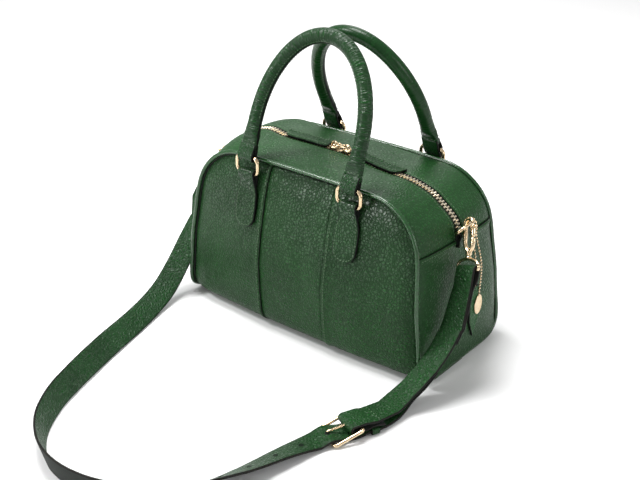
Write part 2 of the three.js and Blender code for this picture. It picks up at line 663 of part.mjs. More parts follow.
// A leather loop in the gusset seam that holds the D-ring's bar.
function endTab() {
  const grid = (face) =>
    END_TAB_SECTIONS.map((row) =>
      steps(-END_TAB.halfWidth, END_TAB.halfWidth, 2).map((y) => {
        const flat = gussetPoint(ringRun - row.below, 0, row[face]);
        return vec(flat.x, y, flat.z);
      }),
    );
  return cut(wall(grid("front"), grid("back")), rod(dringBar, depthAxis, END_TAB.hole, 40));
}

// Where a D-ring, the hook on its bow and the eye below the hook lie, from the D-ring's rise.
function fittingsAt(rise) {
  const out = vec(Math.cos(radians(rise)), 0, Math.sin(radians(rise)));
  const bow = at(dringBar, [out, DRING.depth]);
  const top = vec(bow.x - HOOK_HANG.inset, 0, bow.z + DRING.wire + GAP + HOOK.wire + HOOK_HANG.slack);
  const hang = Math.sqrt((HOOK.length - 1) ** 2 - HOOK_HANG.leanX ** 2 - HOOK_HANG.leanY ** 2);
  const foot = vec(top.x + HOOK_HANG.leanX, HOOK_HANG.leanY, top.z - hang);
  const up = top.clone().sub(foot).normalize();
  const facing = vec(0.93, -0.33, 0.15);
  const wide = facing.addScaledVector(up, -facing.dot(up)).normalize();
  const shift = HOOK.halfWidth - HOOK.wire - DRING.wire - 2 * GAP;
  const place = (across, height) => at(foot, [wide, across + shift], [up, height]);
  return { out, up, wide, normal: wide.clone().cross(up).normalize(), place, eye: place(0, -EYE.drop) };
}

// A D-ring: a straight bar in the tab and a bow that stands out.
function dRing({ out }) {
  const half = DRING.halfWidth;
  const points = [
    ...steps(-half + 2, half - 2, 2).map((y) => at(dringBar, [depthAxis, y])),
    at(dringBar, [depthAxis, half - 0.3], [out, 0.9]),
    ...steps(0, 180, 10).map((deg) => {
      const [c, s] = [Math.cos(radians(deg)), Math.sin(radians(deg))];
      return at(dringBar, [depthAxis, half * c], [out, 4 + (DRING.depth - 4) * s]);
    }),
    at(dringBar, [depthAxis, -half + 0.3], [out, 0.9]),
  ];
  return planarWire(points, depthAxis.clone().cross(out), DRING.wire, 6, true);
}

// A snap hook: a stem, the bar that runs up and over the D-ring to the nose, and the gate's post.
function hookBody({ place, up, wide, normal }) {
  const half = HOOK.halfWidth;
  const crest = HOOK.length - 1 - half;
  const stem = rod(place(0, 2), up, HOOK.stem, 6, 8);
  const bar = [place(-1, 3.5), place(-0.7 * half, 6.5), place(-half, 11)];
  bar.push(...arcPoints(place(0, crest), wide, up, half, 180, GATE.noseAngle, 6));
  const post = [place(1, 3.5), place(0.7 * half, 6.5), place(0.97 * half, 11), place(half, GATE.foot - GAP)];
  return join(
    stem,
    planarWire(bar, normal, HOOK.wire, 8, false),
    planarWire(post, normal, HOOK.wire + 0.3, 8, false),
  );
}

// The hook's gate: a bar that turns on its round foot, with a thumb lug near its tip.
function hookGate({ place, wide, normal }) {
  const round = [80, 45, 0].map((deg) => radians(deg));
  const radii = [...round.map((angle) => GATE.radius * Math.cos(angle)), GATE.radius];
  const heights = round.map((angle) => GATE.foot + GATE.radius * (1 - Math.sin(angle)));
  const line = [...heights, GATE.end].map((height) => place(HOOK.halfWidth, height));
  const bar = planarWire(line, normal, radii, 8, false);
  const lug = rod(place(HOOK.halfWidth + 2.4, GATE.end - 2), wide, 1.4, 4, 8);
  return join(bar, lug);
}

// The swivel eye that the strap folds round.
function swivelEye({ eye, up, wide, normal }) {
  const half = EYE.halfWidth;
  const reach = EYE.drop - 1 - EYE.wire - GAP - 0.6;
  const points = [
    at(eye, [wide, -half + 2.4]),
    at(eye, [wide, half - 2.4]),
    at(eye, [wide, half - 0.5], [up, 1.2]),
    ...steps(0, 180, 10).map((deg) => {
      const [c, s] = [Math.cos(radians(deg)), Math.sin(radians(deg))];
      return at(eye, [wide, half * c], [up, 3 + (reach - 3) * s]);
    }),
    at(eye, [wide, -half + 0.5], [up, 1.2]),
  ];
  return planarWire(points, normal, EYE.wire, 6, true);
}

const rightEnd = fittingsAt(DRING_RISE.right);
const leftEnd = fittingsAt(DRING_RISE.left);
for (const [name, make, material] of [
  ["end_tab", endTab, leather],
  ["d_ring", dRing, gold],
  ["hook", hookBody, gold],
  ["hook_gate", hookGate, gold],
  ["swivel_eye", swivelEye, gold],
]) {
  piece(`right_${name}`, make(rightEnd), material);
  piece(`left_${name}`, mirrored(make(leftEnd)), material);
}

// Strap: a flat ribbon that follows a route of points and width directions
function ribbon(stations) {
  const half = STRAP.width / 2;
  const thick = STRAP.thickness / 2;
  const rings = stations.map(({ point, wide }, i) => {
    const before = stations[Math.max(i - 1, 0)].point;
    const after = stations[Math.min(i + 1, stations.length - 1)].point;
    const along = after.clone().sub(before).normalize();
    const face = along.clone().cross(wide).normalize();
    const across = face.clone().cross(along).normalize();
    return [[-half, -thick], [half, -thick], [half, thick], [-half, thick]].map(([w, t]) =>
      at(point, [across, w], [face, t]),
    );
  });
  return loft(rings);
}

// The stations of a route, smoothed, with the outer edge lifted by each row's tilt.
function routeStations(rows, outerSide, perRow) {
  const lying = (row) => {
    const tilt = radians(row.tilt);
    return (STRAP.width / 2) * Math.sin(tilt) + (STRAP.thickness / 2) * Math.cos(tilt) + 0.2 + row.lift;
  };
  const points = rows.map((row) => vec(row.x, row.y, lying(row)));
  const curve = new THREE.CatmullRomCurve3(points, false, "centripetal");
  const count = (rows.length - 1) * perRow;
  return steps(0, 1, count).map((t) => {
    const place = t * (rows.length - 1);
    const row = Math.min(Math.floor(place), rows.length - 2);
    const tilt = radians(lerp(rows[row].tilt, rows[row + 1].tilt, place - row));
    const heading = curve.getTangent(t);
    const flat = vec(-heading.y, heading.x, 0).normalize().multiplyScalar(outerSide * Math.cos(tilt));
    return { point: curve.getPoint(t), wide: flat.add(vec(0, 0, Math.sin(tilt))) };
  });
}

// The fold of a strap end round a bar: the short layer first, then the layer that runs on.
function foldStations(bar, wide, heading, layerEnd) {
  const down = at(heading, [wide, -heading.dot(wide)]).normalize();
  const face = down.clone().cross(wide).normalize();
  const radius = EYE.wire + 0.4 + STRAP.thickness / 2;
  const back = [[34, 1.75], [16, 2.3], [5, radius]].map(([along, off]) =>
    at(bar, [down, along], [face, -off * layerEnd]),
  );
  const round = steps(150, 30, 4).map((deg) =>
    at(bar, [face, radius * Math.cos(radians(deg)) * layerEnd], [down, -radius * Math.sin(radians(deg))]),
  );
  const front = [[5, radius], [16, 2.3]].map(([along, off]) => at(bar, [down, along], [face, off * layerEnd]));
  return [...back, ...round, ...front].map((point) => ({ point, wide }));
}

const shortRoute = routeStations(SHORT_ROUTE, 1, 3);
const longRoute = routeStations(LONG_ROUTE, -1, 2);
const flip = vec(-1, 1, 1);
const leftEye = leftEnd.eye.clone().multiply(flip);
const leftWide = leftEnd.wide.clone().multiply(flip);
const shortDown = shortRoute[0].point.clone().sub(rightEnd.eye).normalize();
const longDown = longRoute[0].point.clone().sub(leftEye).normalize();

// Buckle: a frame that leans from the short strap's fold down to the long strap
const heading = vec(-0.392, -0.92, 0).normalize();
const buckleWide = vec(-heading.y, heading.x, 0);
const heel = vec(BUCKLE.x, BUCKLE.y, BUCKLE.barZ);
const frameAlong = heading.clone().multiplyScalar(BUCKLE.length).setZ(-BUCKLE.drop).normalize();

// The fold of the short strap round the buckle's heel bar, with the under layer that runs back.
function buckleFold() {
  const upward = vec(0, 0, 1);
  const radius = BUCKLE.wire + 0.4 + STRAP.thickness / 2;
  const over = [[-13, 1.7], [-5, 3.3]].map(([along, rise]) => at(heel, [heading, along], [upward, rise]));
  const round = arcPoints(heel, heading, upward, radius, 80, -80, 5);
  const under = [[-5, -3.2], [-9, -2.2], [-13, -1.7], [-17, -1.9], [-23, -3.4]].map(([along, rise]) =>
    at(heel, [heading, along], [upward, rise]),
  );
  return [...over, ...round, ...under].map((point) => ({ point, wide: buckleWide }));
}

const shortFold = foldStations(rightEnd.eye, rightEnd.wide, shortDown, 1);
const longFold = foldStations(leftEye, leftWide, longDown, -1);
piece("short_strap", ribbon([...shortFold, ...shortRoute, ...buckleFold()]), strapLeather);
piece("long_strap", ribbon([...longFold, ...longRoute]), strapLeather);

// The buckle's frame: a rectangle of round wire with rounded corners.
function buckleFrame() {
  const half = Math.hypot(BUCKLE.length, BUCKLE.drop) / 2;
  const middle = at(heel, [frameAlong, half]);
  return wireRectangle(middle, buckleWide, frameAlong, BUCKLE.halfWidth, half, 2.5, BUCKLE.wire, 2);
}

piece("buckle_frame", buckleFrame(), gold);

const prongEnds = [[5.8, 0.3], [17, -0.4], [28.6, -1.1]];
const prongLine = prongEnds.map(([along, rise]) => at(heel, [heading, along]).setZ(BUCKLE.barZ + rise));
piece("buckle_prong", planarWire(prongLine, buckleWide, 1.1, 6, false), gold);

// A leather keeper round the strap's tail, under the fold
function keeper() {
  const half = { width: STRAP.width / 2 + 0.6, height: 1.6 };
  const skin = 1.3;
  const outline = (grow) =>
    [[-1, -1], [1, -1], [1, 1], [-1, 1]].map(
      ([w, h]) => new THREE.Vector2(w * (half.width + grow), h * (half.height + grow)),
    );
  const shape = new THREE.Shape(outline(skin));
  shape.holes.push(new THREE.Path(outline(0)));
  const basis = new THREE.Matrix4().makeBasis(buckleWide, vec(0, 0, 1), heading);
  const centre = at(heel, [heading, -13]);
  return new THREE.ExtrudeGeometry(shape, { depth: 8, bevelEnabled: false })
    .translate(0, 0, -4)
    .applyMatrix4(basis)
    .translate(centre.x, centre.y, 3.4);
}

piece("strap_keeper", keeper(), strapLeather);

// Hang tag: a pointed leather fob and a plain oval charm on one chain over the right D-ring
const tagHeights = steps(TAG.top - TAG.length, TAG.top, 8);
const tagX = Math.max(...tagHeights.map((z) => gussetPoint(z / sideUp.z, TAG.y - 6, GAP).x));
const fobShape = new THREE.Shape();
fobShape.moveTo(-TAG.halfWidth * 0.55, 0);
fobShape.lineTo(-TAG.halfWidth, -TAG.length * 0.2);
fobShape.lineTo(-TAG.halfWidth * 0.9, -TAG.length * 0.66);
fobShape.lineTo(0, -TAG.length);
fobShape.lineTo(TAG.halfWidth * 0.9, -TAG.length * 0.66);
fobShape.lineTo(TAG.halfWidth, -TAG.length * 0.2);
fobShape.lineTo(TAG.halfWidth * 0.55, 0);
const outwards = new THREE.Matrix4().makeBasis(vec(0, 1, 0), vec(0, 0, 1), vec(1, 0, 0));
const fob = new THREE.ExtrudeGeometry(fobShape, { depth: TAG.thickness, bevelEnabled: false })
  .applyMatrix4(outwards)
  .translate(tagX, TAG.y, TAG.top);
piece("tag_fob", fob, leather);

const charmX = tagX + TAG.thickness + GAP;
const charmMiddle = vec(charmX + CHARM.thickness / 2, TAG.y + CHARM.aside, TAG.top - CHARM.below);
const charm = new THREE.CylinderGeometry(CHARM.half, CHARM.half, CHARM.thickness, 16)
  .scale(1, 1, CHARM.length / 2 / CHARM.half)
  .rotateZ(Math.PI / 2)
  .translate(charmMiddle.x, charmMiddle.y, charmMiddle.z);
piece("tag_charm", charm, gold);

const chainWire = 0.9;
const bowShare = Math.sqrt(1 - (TAG.hangY / DRING.halfWidth) ** 2);
const bowBack = at(dringBar, [depthAxis, TAG.hangY], [rightEnd.out, 4 + (DRING.depth - 4) * bowShare]);
const overBow = 1.2 * DRING.wire + chainWire + 0.65;
const chainRoute = [
  vec(tagX + 1.1, TAG.y - 0.5, TAG.top + GAP),
  vec(tagX + 0.6, TAG.y - 0.8, 100),
  vec(bowBack.x - overBow + 1.8, TAG.hangY + 0.2, bowBack.z - 10),
  vec(bowBack.x - overBow + 0.4, TAG.hangY, bowBack.z),
  vec(bowBack.x, TAG.hangY, bowBack.z + overBow),
  vec(bowBack.x + overBow, TAG.hangY, bowBack.z),
  vec(bowBack.x + overBow + 0.3, TAG.hangY + 0.8, bowBack.z - 12),
  vec(charmX + 1.6, TAG.y + 2.6, 100),
  vec(charmMiddle.x, charmMiddle.y, charmMiddle.z + CHARM.length / 2 + GAP),
];
const chainCurve = new THREE.CatmullRomCurve3(chainRoute, false, "centripetal");
const chain = { steps: 34, extrudePath: chainCurve, bevelEnabled: false };
piece("tag_chain", new THREE.ExtrudeGeometry(roundShape(chainWire, 6), chain), gold);

export default bag;
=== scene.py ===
"""Looks of a leather bowling bag: pebbled green leather, pale gold fittings, a zip top and a shoulder strap.

Sizes inside the classes are millimetres in the frame of the solids: the base's middle is the origin, the
front faces -Y and the end with the hang tag faces +X. Meshes are written in metres.
"""

import logging
import math
from dataclasses import dataclass, field, replace
from enum import Enum
from functools import cache
from typing import Sequence

import bmesh
import bpy
from mathutils import Matrix, Vector, noise


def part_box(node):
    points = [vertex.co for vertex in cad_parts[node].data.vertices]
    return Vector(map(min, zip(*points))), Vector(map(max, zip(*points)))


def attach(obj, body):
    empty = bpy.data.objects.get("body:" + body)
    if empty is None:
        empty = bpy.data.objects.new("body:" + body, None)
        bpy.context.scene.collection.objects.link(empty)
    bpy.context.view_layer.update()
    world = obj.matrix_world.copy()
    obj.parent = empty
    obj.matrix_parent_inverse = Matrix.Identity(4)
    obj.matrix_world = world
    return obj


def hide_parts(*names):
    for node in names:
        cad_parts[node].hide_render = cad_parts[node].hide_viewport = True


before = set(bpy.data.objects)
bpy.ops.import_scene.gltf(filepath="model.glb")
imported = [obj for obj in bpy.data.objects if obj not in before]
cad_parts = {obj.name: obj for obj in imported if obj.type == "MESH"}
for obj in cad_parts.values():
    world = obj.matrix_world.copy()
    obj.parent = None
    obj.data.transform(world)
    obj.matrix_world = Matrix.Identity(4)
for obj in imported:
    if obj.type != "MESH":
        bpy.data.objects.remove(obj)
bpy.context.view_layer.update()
LOG = logging.getLogger("bowling_bag")
MM = 0.001
GAP = 0.3
BAG = "bag_body"
WRAP = "wrap"
X_AXIS = Vector((1, 0, 0))
Y_AXIS = Vector((0, 1, 0))
Z_AXIS = Vector((0, 0, 1))
MIRROR = Vector((-1, 1, 1))
Line = list[Vector]
Grid = list[Line]
Span = tuple[float, float]
Triple = tuple[float, float, float]
Socket = bpy.types.NodeSocket
Node = bpy.types.Node
Tree = bpy.types.NodeTree
Piece = bpy.types.Object
Material = bpy.types.Material


class Face(Enum):
    """Which of a leather piece's finishes a face wears."""

    GRAIN = 0
    EDGE = 1
    UNDER = 2


class Pattern(Enum):
    """What the colour and gloss of a two-tone finish follow."""

    MOTTLE = "soft clouds"
    FIBRES = "fine fibres"
    PLIES = "twisted plies"
    WEAVE = "crossing threads"


class Named(Enum):
    """A choice whose name is part of its pieces' names."""

    @property
    def word(self) -> str:
        """The name as the pieces spell it."""
        return self.name.lower()


class Side(Named):
    """The broad sides of the bag, by the sign of Y."""

    FRONT = -1
    BACK = 1


class End(Named):
    """The narrow ends of the bag, by the sign of X."""

    LEFT = -1
    RIGHT = 1


def steps(start: float, stop: float, count: int) -> list[float]:
    """Evenly spaced values.

    Args:
        start: The first value.
        stop: The last value.
        count: How many equal steps lie between them.

    Returns:
        The count + 1 values, both ends included.
    """
    return [start + (stop - start) * i / count for i in range(count + 1)]


def ramp(low: float, high: float, value: float) -> float:
    """A smooth rise from 0 at low to 1 at high."""
    t = min(max((value - low) / (high - low), 0.0), 1.0)
    return t * t * (3 - 2 * t)


def table_value(rows: Sequence[tuple[float, ...]], key: float, column: int) -> float:
    """Reads a short table, smooth between its rows.

    Args:
        rows: Rows in the order of their first column.
        key: The value looked up in the first column.
        column: The column to read.

    Returns:
        The blended value.
    """
    if key <= rows[0][0]:
        return rows[0][column]
    for low, high in zip(rows, rows[1:]):
        if key <= high[0]:
            return low[column] + (high[column] - low[column]) * ramp(low[0], high[0], key)
    return rows[-1][column]


def spline(points: Sequence[Vector], per_span: int) -> Line:
    """A centripetal curve through points.

    Args:
        points: The points to pass through.
        per_span: How many steps each span gets.

    Returns:
        The points along the curve.
    """
    first, last = points[0] * 2 - points[1], points[-1] * 2 - points[-2]
    knots = [first, *points, last]
    made: Line = []
    for i in range(1, len(knots) - 2):
        p0, p1, p2, p3 = knots[i - 1 : i + 3]
        d0, d1, d2 = (max((b - a).length, 1e-6) ** 0.5 for a, b in ((p0, p1), (p1, p2), (p2, p3)))
        t1 = ((p1 - p0) / d0 - (p2 - p0) / (d0 + d1) + (p2 - p1) / d1) * d1
        t2 = ((p2 - p1) / d1 - (p3 - p1) / (d1 + d2) + (p3 - p2) / d2) * d1
        c2 = (p2 - p1) * 3 - t1 * 2 - t2
        c3 = (p1 - p2) * 2 + t1 + t2
        for k in range(per_span):
            t = k / per_span
            made.append(p1 + t1 * t + c2 * t**2 + c3 * t**3)
    made.append(points[-1].copy())
    return made


def cos_sin(degrees: float) -> Span:
    """The cosine and sine of an angle in degrees."""
    return math.cos(math.radians(degrees)), math.sin(math.radians(degrees))


def directions(points: Sequence[Vector], closed: bool = False) -> Line:
    """The direction of travel at each point of a line.

    Args:
        points: The line's points.
        closed: Whether the line joins itself.

    Returns:
        One unit vector for each point.
    """
    n = len(points)
    found = []
    for i in range(n):
        before = points[(i - 1) % n] if closed else points[max(i - 1, 0)]
        after = points[(i + 1) % n] if closed else points[min(i + 1, n - 1)]
        found.append((after - before).normalized())
    return found


def arc(centre: Vector, u: Vector, v: Vector, radius: float, start: float, stop: float, count: int) -> Line:
    """Points round an arc in the plane of two axes.

    Args:
        centre: The arc's centre.
        u: The axis at 0 degrees.
        v: The axis at 90 degrees.
        radius: The arc's radius.
        start: The first angle in degrees.
        stop: The last angle in degrees.
        count: The number of steps.

    Returns:
        The points of the arc.
    """
    angles = [math.radians(a) for a in steps(start, stop, count)]
    return [centre + u * (radius * math.cos(a)) + v * (radius * math.sin(a)) for a in angles]


def rounded_loop(middle: Vector, u: Vector, v: Vector, reach: Span, corner: float, count: int) -> Line:
    """A rectangle with round corners, as a closed line in the plane of two axes.

    Args:
        middle: The rectangle's middle.
        u: Its first axis.
        v: Its second axis.
        reach: Half its size along each axis.
        corner: The radius of its corners.
        count: The number of steps round a corner.

    Returns:
        The line's points.
    """
    points: Line = []
    for k, (su, sv) in enumerate(((1, 1), (-1, 1), (-1, -1), (1, -1))):
        centre = middle + u * (su * (reach[0] - corner)) + v * (sv * (reach[1] - corner))
        points += arc(centre, u, v, corner, 90 * k, 90 * (k + 1), count)
    return points


@dataclass(frozen=True)
class BowFoot:
    """How a D's bar turns into its bow: the flat's inset, the corner's tuck and lift, and the bow's start."""

    flat: float
    tuck: float
    lift: float
    start: float


def d_loop(bar: Vector, wide: Vector, out: Vector, half: float, depth: float, foot: BowFoot) -> Line:
    """A D as a closed line: a straight bar and a bow.

    Args:
        bar: The middle of the bar.
        wide: The direction along the bar.
        out: The direction of the bow.
        half: Half the bar's length.
        depth: How far the bow reaches.
        foot: How the bar turns into the bow.

    Returns:
        The line's points.
    """
    points = [bar + wide * w for w in steps(foot.flat - half, half - foot.flat, 6)]
    points.append(bar + wide * (half - foot.tuck) + out * foot.lift)
    for degrees in steps(0, 180, 28):
        c, s = cos_sin(degrees)
        points.append(bar + wide * (half * c) + out * (foot.start + (depth - foot.start) * s))
    points.append(bar + wide * (foot.tuck - half) + out * foot.lift)
    return points


class Shape:
    """The points and faces of one piece as it is put together."""

    def __init__(self) -> None:
        """Starts with nothing."""
        self.points: Line = []
        self.faces: list[tuple[int, ...]] = []
        self.slots: list[int] = []
        self.wrap: list[Span] = []

    def _face(self, corners: Sequence[int], slot: int) -> None:
        """Adds one face with its finish."""
        self.faces.append(tuple(corners))
        self.slots.append(slot)

    def loft(self, rings: Grid, slots: Sequence[int] = (), closed: bool = False, cap: int = 0) -> "Shape":
        """A skin through rings of points.

        Args:
            rings: Rings with the same number of points.
            slots: The finish of each stretch between neighbouring ring points, or nothing for finish 0.
            closed: Whether the last ring joins the first.
            cap: The finish of the end caps of an open skin.

        Returns:
            This shape.
        """
        base, n = len(self.points), len(rings[0])
        for ring in rings:
            self.points.extend(ring)
        for r in range(len(rings) if closed else len(rings) - 1):
            a, b = base + r * n, base + ((r + 1) % len(rings)) * n
            for i in range(n):
                j = (i + 1) % n
                self._face((a + i, a + j, b + j, b + i), slots[i] if slots else 0)
        if not closed:
            self._face(range(base, base + n), cap)
            self._face(range(base + (len(rings) - 1) * n, base + len(rings) * n), cap)
        return self

    def wall(self, outer: Grid, inner: Grid) -> "Shape":
        """A wall of leather between two matching grids, with painted edges.

        Args:
            outer: The grain side.
            inner: The flesh side.

        Returns:
            This shape.
        """
        rows, cols, base = len(outer), len(outer[0]), len(self.points)
        for grid in (outer, inner):
            for row in grid:
                self.points.extend(row)

        def at(layer: int, r: int, c: int) -> int:
            """The number of a grid point."""
            return base + (layer * rows + r) * cols + c

        for r in range(rows - 1):
            for c in range(cols - 1):
                for layer, side in enumerate((Face.GRAIN, Face.UNDER)):
                    near, far = ((at(layer, k, c), at(layer, k, c + 1)) for k in (r, r + 1))
                    self._face((*near, *reversed(far)), side.value)
            for c in (0, cols - 1):
                self._face((at(0, r, c), at(0, r + 1, c), at(1, r + 1, c), at(1, r, c)), Face.EDGE.value)
        for c in range(cols - 1):
            for r in (0, rows - 1):
                self._face((at(0, r, c), at(1, r, c), at(1, r, c + 1), at(0, r, c + 1)), Face.EDGE.value)
        return self

    def wire(
        self,
        points: Sequence[Vector],
        radius: float | Sequence[float],
        sides: int = 12,
        closed: bool = False,
        slot: int = 0,
    ) -> "Shape":
        """A round wire along a line, with a frame that turns as little as it can.

        Args:
            points: The wire's centre line.
            radius: One radius, or one for each point.
            sides: The number of flats round the wire.
            closed: Whether the wire joins itself.
            slot: The wire's finish.

        Returns:
            This shape.
        """
        along = directions(points, closed)
        side = along[0].orthogonal().normalized()
        rings = []
        for i, (point, heading) in enumerate(zip(points, along)):
            side = (side - heading * side.dot(heading)).normalized()
            other = heading.cross(side)
            size = radius if isinstance(radius, (int, float)) else radius[i]
            rings.append(arc(point, side, other, size, 0, 360, sides)[:-1])
        if closed:
            turned = min(range(sides), key=lambda k: (rings[0][k] - rings[-1][0]).length)
            twist = turned if turned <= sides // 2 else turned - sides
            for r, ring in enumerate(rings):
                shift = round(twist * r / len(rings))
                rings[r] = [ring[(k - shift) % sides] for k in range(sides)]
        return self.loft(rings, [slot] * sides, closed=closed, cap=slot)

    def ribbon(self, strap: Sequence["Station"]) -> "Shape":
        """A flat leather strap with rounded, painted edges.

        Args:
            strap: The stations along it.

        Returns:
            This shape.
        """
        along = directions([s.point for s in strap])
        rings, slots = [], []
        for station, heading in zip(strap, along):
            face = heading.cross(station.wide).normalized()
            across = face.cross(heading).normalized()
            section = station.section()
            rings.append([station.point + across * u + face * v for u, v, _ in section])
            slots = [slot for _, _, slot in section]
        return self.loft(rings, slots, cap=Face.EDGE.value)

    def build(self, name: str, finishes: Sequence[Material], mirror: bool = False) -> Piece:
        """Makes the object, in metres, with its faces turned outwards.

        Args:
            name: The piece's name.
            finishes: The materials, in slot order.
            mirror: Whether the piece is for the left end of the bag.

        Returns:
            The new object.
        """
        flip = MIRROR * MM if mirror else Vector((MM, MM, MM))
        mesh = bpy.data.meshes.new(name)
        mesh.from_pydata([p * flip for p in self.points], [], self.faces)
        for material in finishes:
            mesh.materials.append(material)
        mesh.polygons.foreach_set("material_index", [min(s, len(finishes) - 1) for s in self.slots])
        mesh.polygons.foreach_set("use_smooth", [True] * len(self.faces))
        work = bmesh.new()
        work.from_mesh(mesh)
        bmesh.ops.recalc_face_normals(work, faces=work.faces)
        work.to_mesh(mesh)
        work.free()
        if self.wrap:
            laid = mesh.uv_layers.new(name=WRAP)
            laid.data.foreach_set("uv", [c for loop in mesh.loops for c in self.wrap[loop.vertex_index]])
        piece = bpy.data.objects.new(name, mesh)
        bpy.context.scene.collection.objects.link(piece)
        return piece


@dataclass
class Station:
    """One place along a flat strap."""

    point: Vector
    wide: Vector
    half: float
    thick: float
    crown: float = 0.15
    edge_round: float = 0.8

    def section(self) -> list[tuple[float, float, int]]:
        """The strap's outline here.

        Returns:
            Points as across, above and the finish of the stretch that starts there.
        """
        t, h = self.thick / 2, self.half
        r = min(self.edge_round, t * 0.8, h * 0.4)
        cut = r * 0.3
        top = [(u, t + self.crown * (1 - (u / h) ** 2), Face.GRAIN.value) for u in steps(-h + r, h - r, 6)]
        low = [(-u, -t, Face.UNDER.value) for u in steps(-h + r, h - r, 2)]
        right = [(h - cut, t - cut), (h, t - r), (h, r - t), (h - cut, cut - t)]
        left = [(-u, -v) for u, v in right]
        paint = Face.EDGE.value
        top[-1] = (*top[-1][:2], paint)
        low[-1] = (*low[-1][:2], paint)
        return [*top, *[(u, v, paint) for u, v in right], *low, *[(u, v, paint) for u, v in left]]


def strap_along(points: Sequence[Vector], wide: Vector, half: float, thick: float) -> list[Station]:
    """Stations of one width and thickness along a line."""
    return [Station(p, wide, half, thick) for p in points]


class NodeSheet:
    """A node tree that is filled in node by node."""

    def __init__(self, tree: Tree) -> None:
        """Wraps an empty tree."""
        self.tree = tree

    def node(self, kind: str, inputs: dict[str | int, object] | None = None, **settings: object) -> Node:
        """Adds a node.

        Args:
            kind: The node's Blender type.
            inputs: Values or sockets for its inputs.
            **settings: The node's own properties.

        Returns:
            The node.
        """
        made = self.tree.nodes.new(kind)
        for key, value in settings.items():
            setattr(made, key, value)
        for key, value in (inputs or {}).items():
            if isinstance(value, Socket):
                self.link(value, made.inputs[key])
            else:
                made.inputs[key].default_value = value
        return made

    def link(self, source: Socket, target: Socket) -> None:
        """Joins an output to an input."""
        self.tree.links.new(source, target)

    def socket(self, name: str, kind: str, output: bool = False, value: object = None) -> None:
        """Adds a socket to the tree's own interface.

        Args:
            name: The socket's name.
            kind: Its Blender type.
            output: Whether the tree gives it out.
            value: Its first value, if it has one.
        """
        made = self.tree.interface.new_socket(name, in_out="OUTPUT" if output else "INPUT", socket_type=kind)
        if value is not None:
            made.default_value = value

    def math(self, operation: str, *values: float | Socket) -> Socket:
        """The result of a calculation."""
        return self.node("ShaderNodeMath", dict(enumerate(values)), operation=operation).outputs[0]

    def noise(self, place: Socket, scale: float, detail: float) -> Socket:
        """A noise over the surface."""
        given = {"Vector": place, "Scale": scale, "Detail": detail}
        return self.node("ShaderNodeTexNoise", given).outputs["Fac"]

    def waves(self, place: Socket, scale: float, way: str, distortion: float = 0.0) -> Socket:
        """Parallel waves over the surface."""
        given = {"Vector": place, "Scale": scale, "Distortion": distortion}
        return self.node("ShaderNodeTexWave", given, bands_direction=way).outputs["Fac"]

    def mottled(self, place: Socket, scale: float) -> Socket:
        """A soft mottle over the surface, as a mask."""
        given = {"Vector": place, "Scale": scale}
        return self.node("ShaderNodeGroup", given, node_tree=Effects.mottle()).outputs["Mask"]

    def spread(self, mask: Socket, low: float | Socket, high: float) -> Socket:
        """A value that runs from low to high with a mask."""
        given = {"Value": mask, "To Min": low, "To Max": high}
        return self.node("ShaderNodeMapRange", given).outputs["Result"]

    def above(self, height: Socket, band: Span, top: float = 1.0) -> Socket:
        """A value that rises from 0 to its top over a band of heights."""
        given = {"Value": height, "From Min": band[0], "From Max": band[1], "To Max": top}
        return self.node("ShaderNodeMapRange", given).outputs["Result"]

    def between(self, mask: Socket, low: Triple | Socket, high: Triple) -> Socket:
        """A colour that runs from low to high with a mask.

        Args:
            mask: The mask.
            low: The colour where the mask is 0.
            high: The colour where the mask is 1.

        Returns:
            The blended colour.
        """
        made = self.node("ShaderNodeMix", {"Factor": mask}, data_type="RGBA")
        for socket, value in ((made.inputs[6], low), (made.inputs[7], high)):
            if isinstance(value, Socket):
                self.link(value, socket)
            else:
                socket.default_value = (*value, 1.0)
        return made.outputs[2]


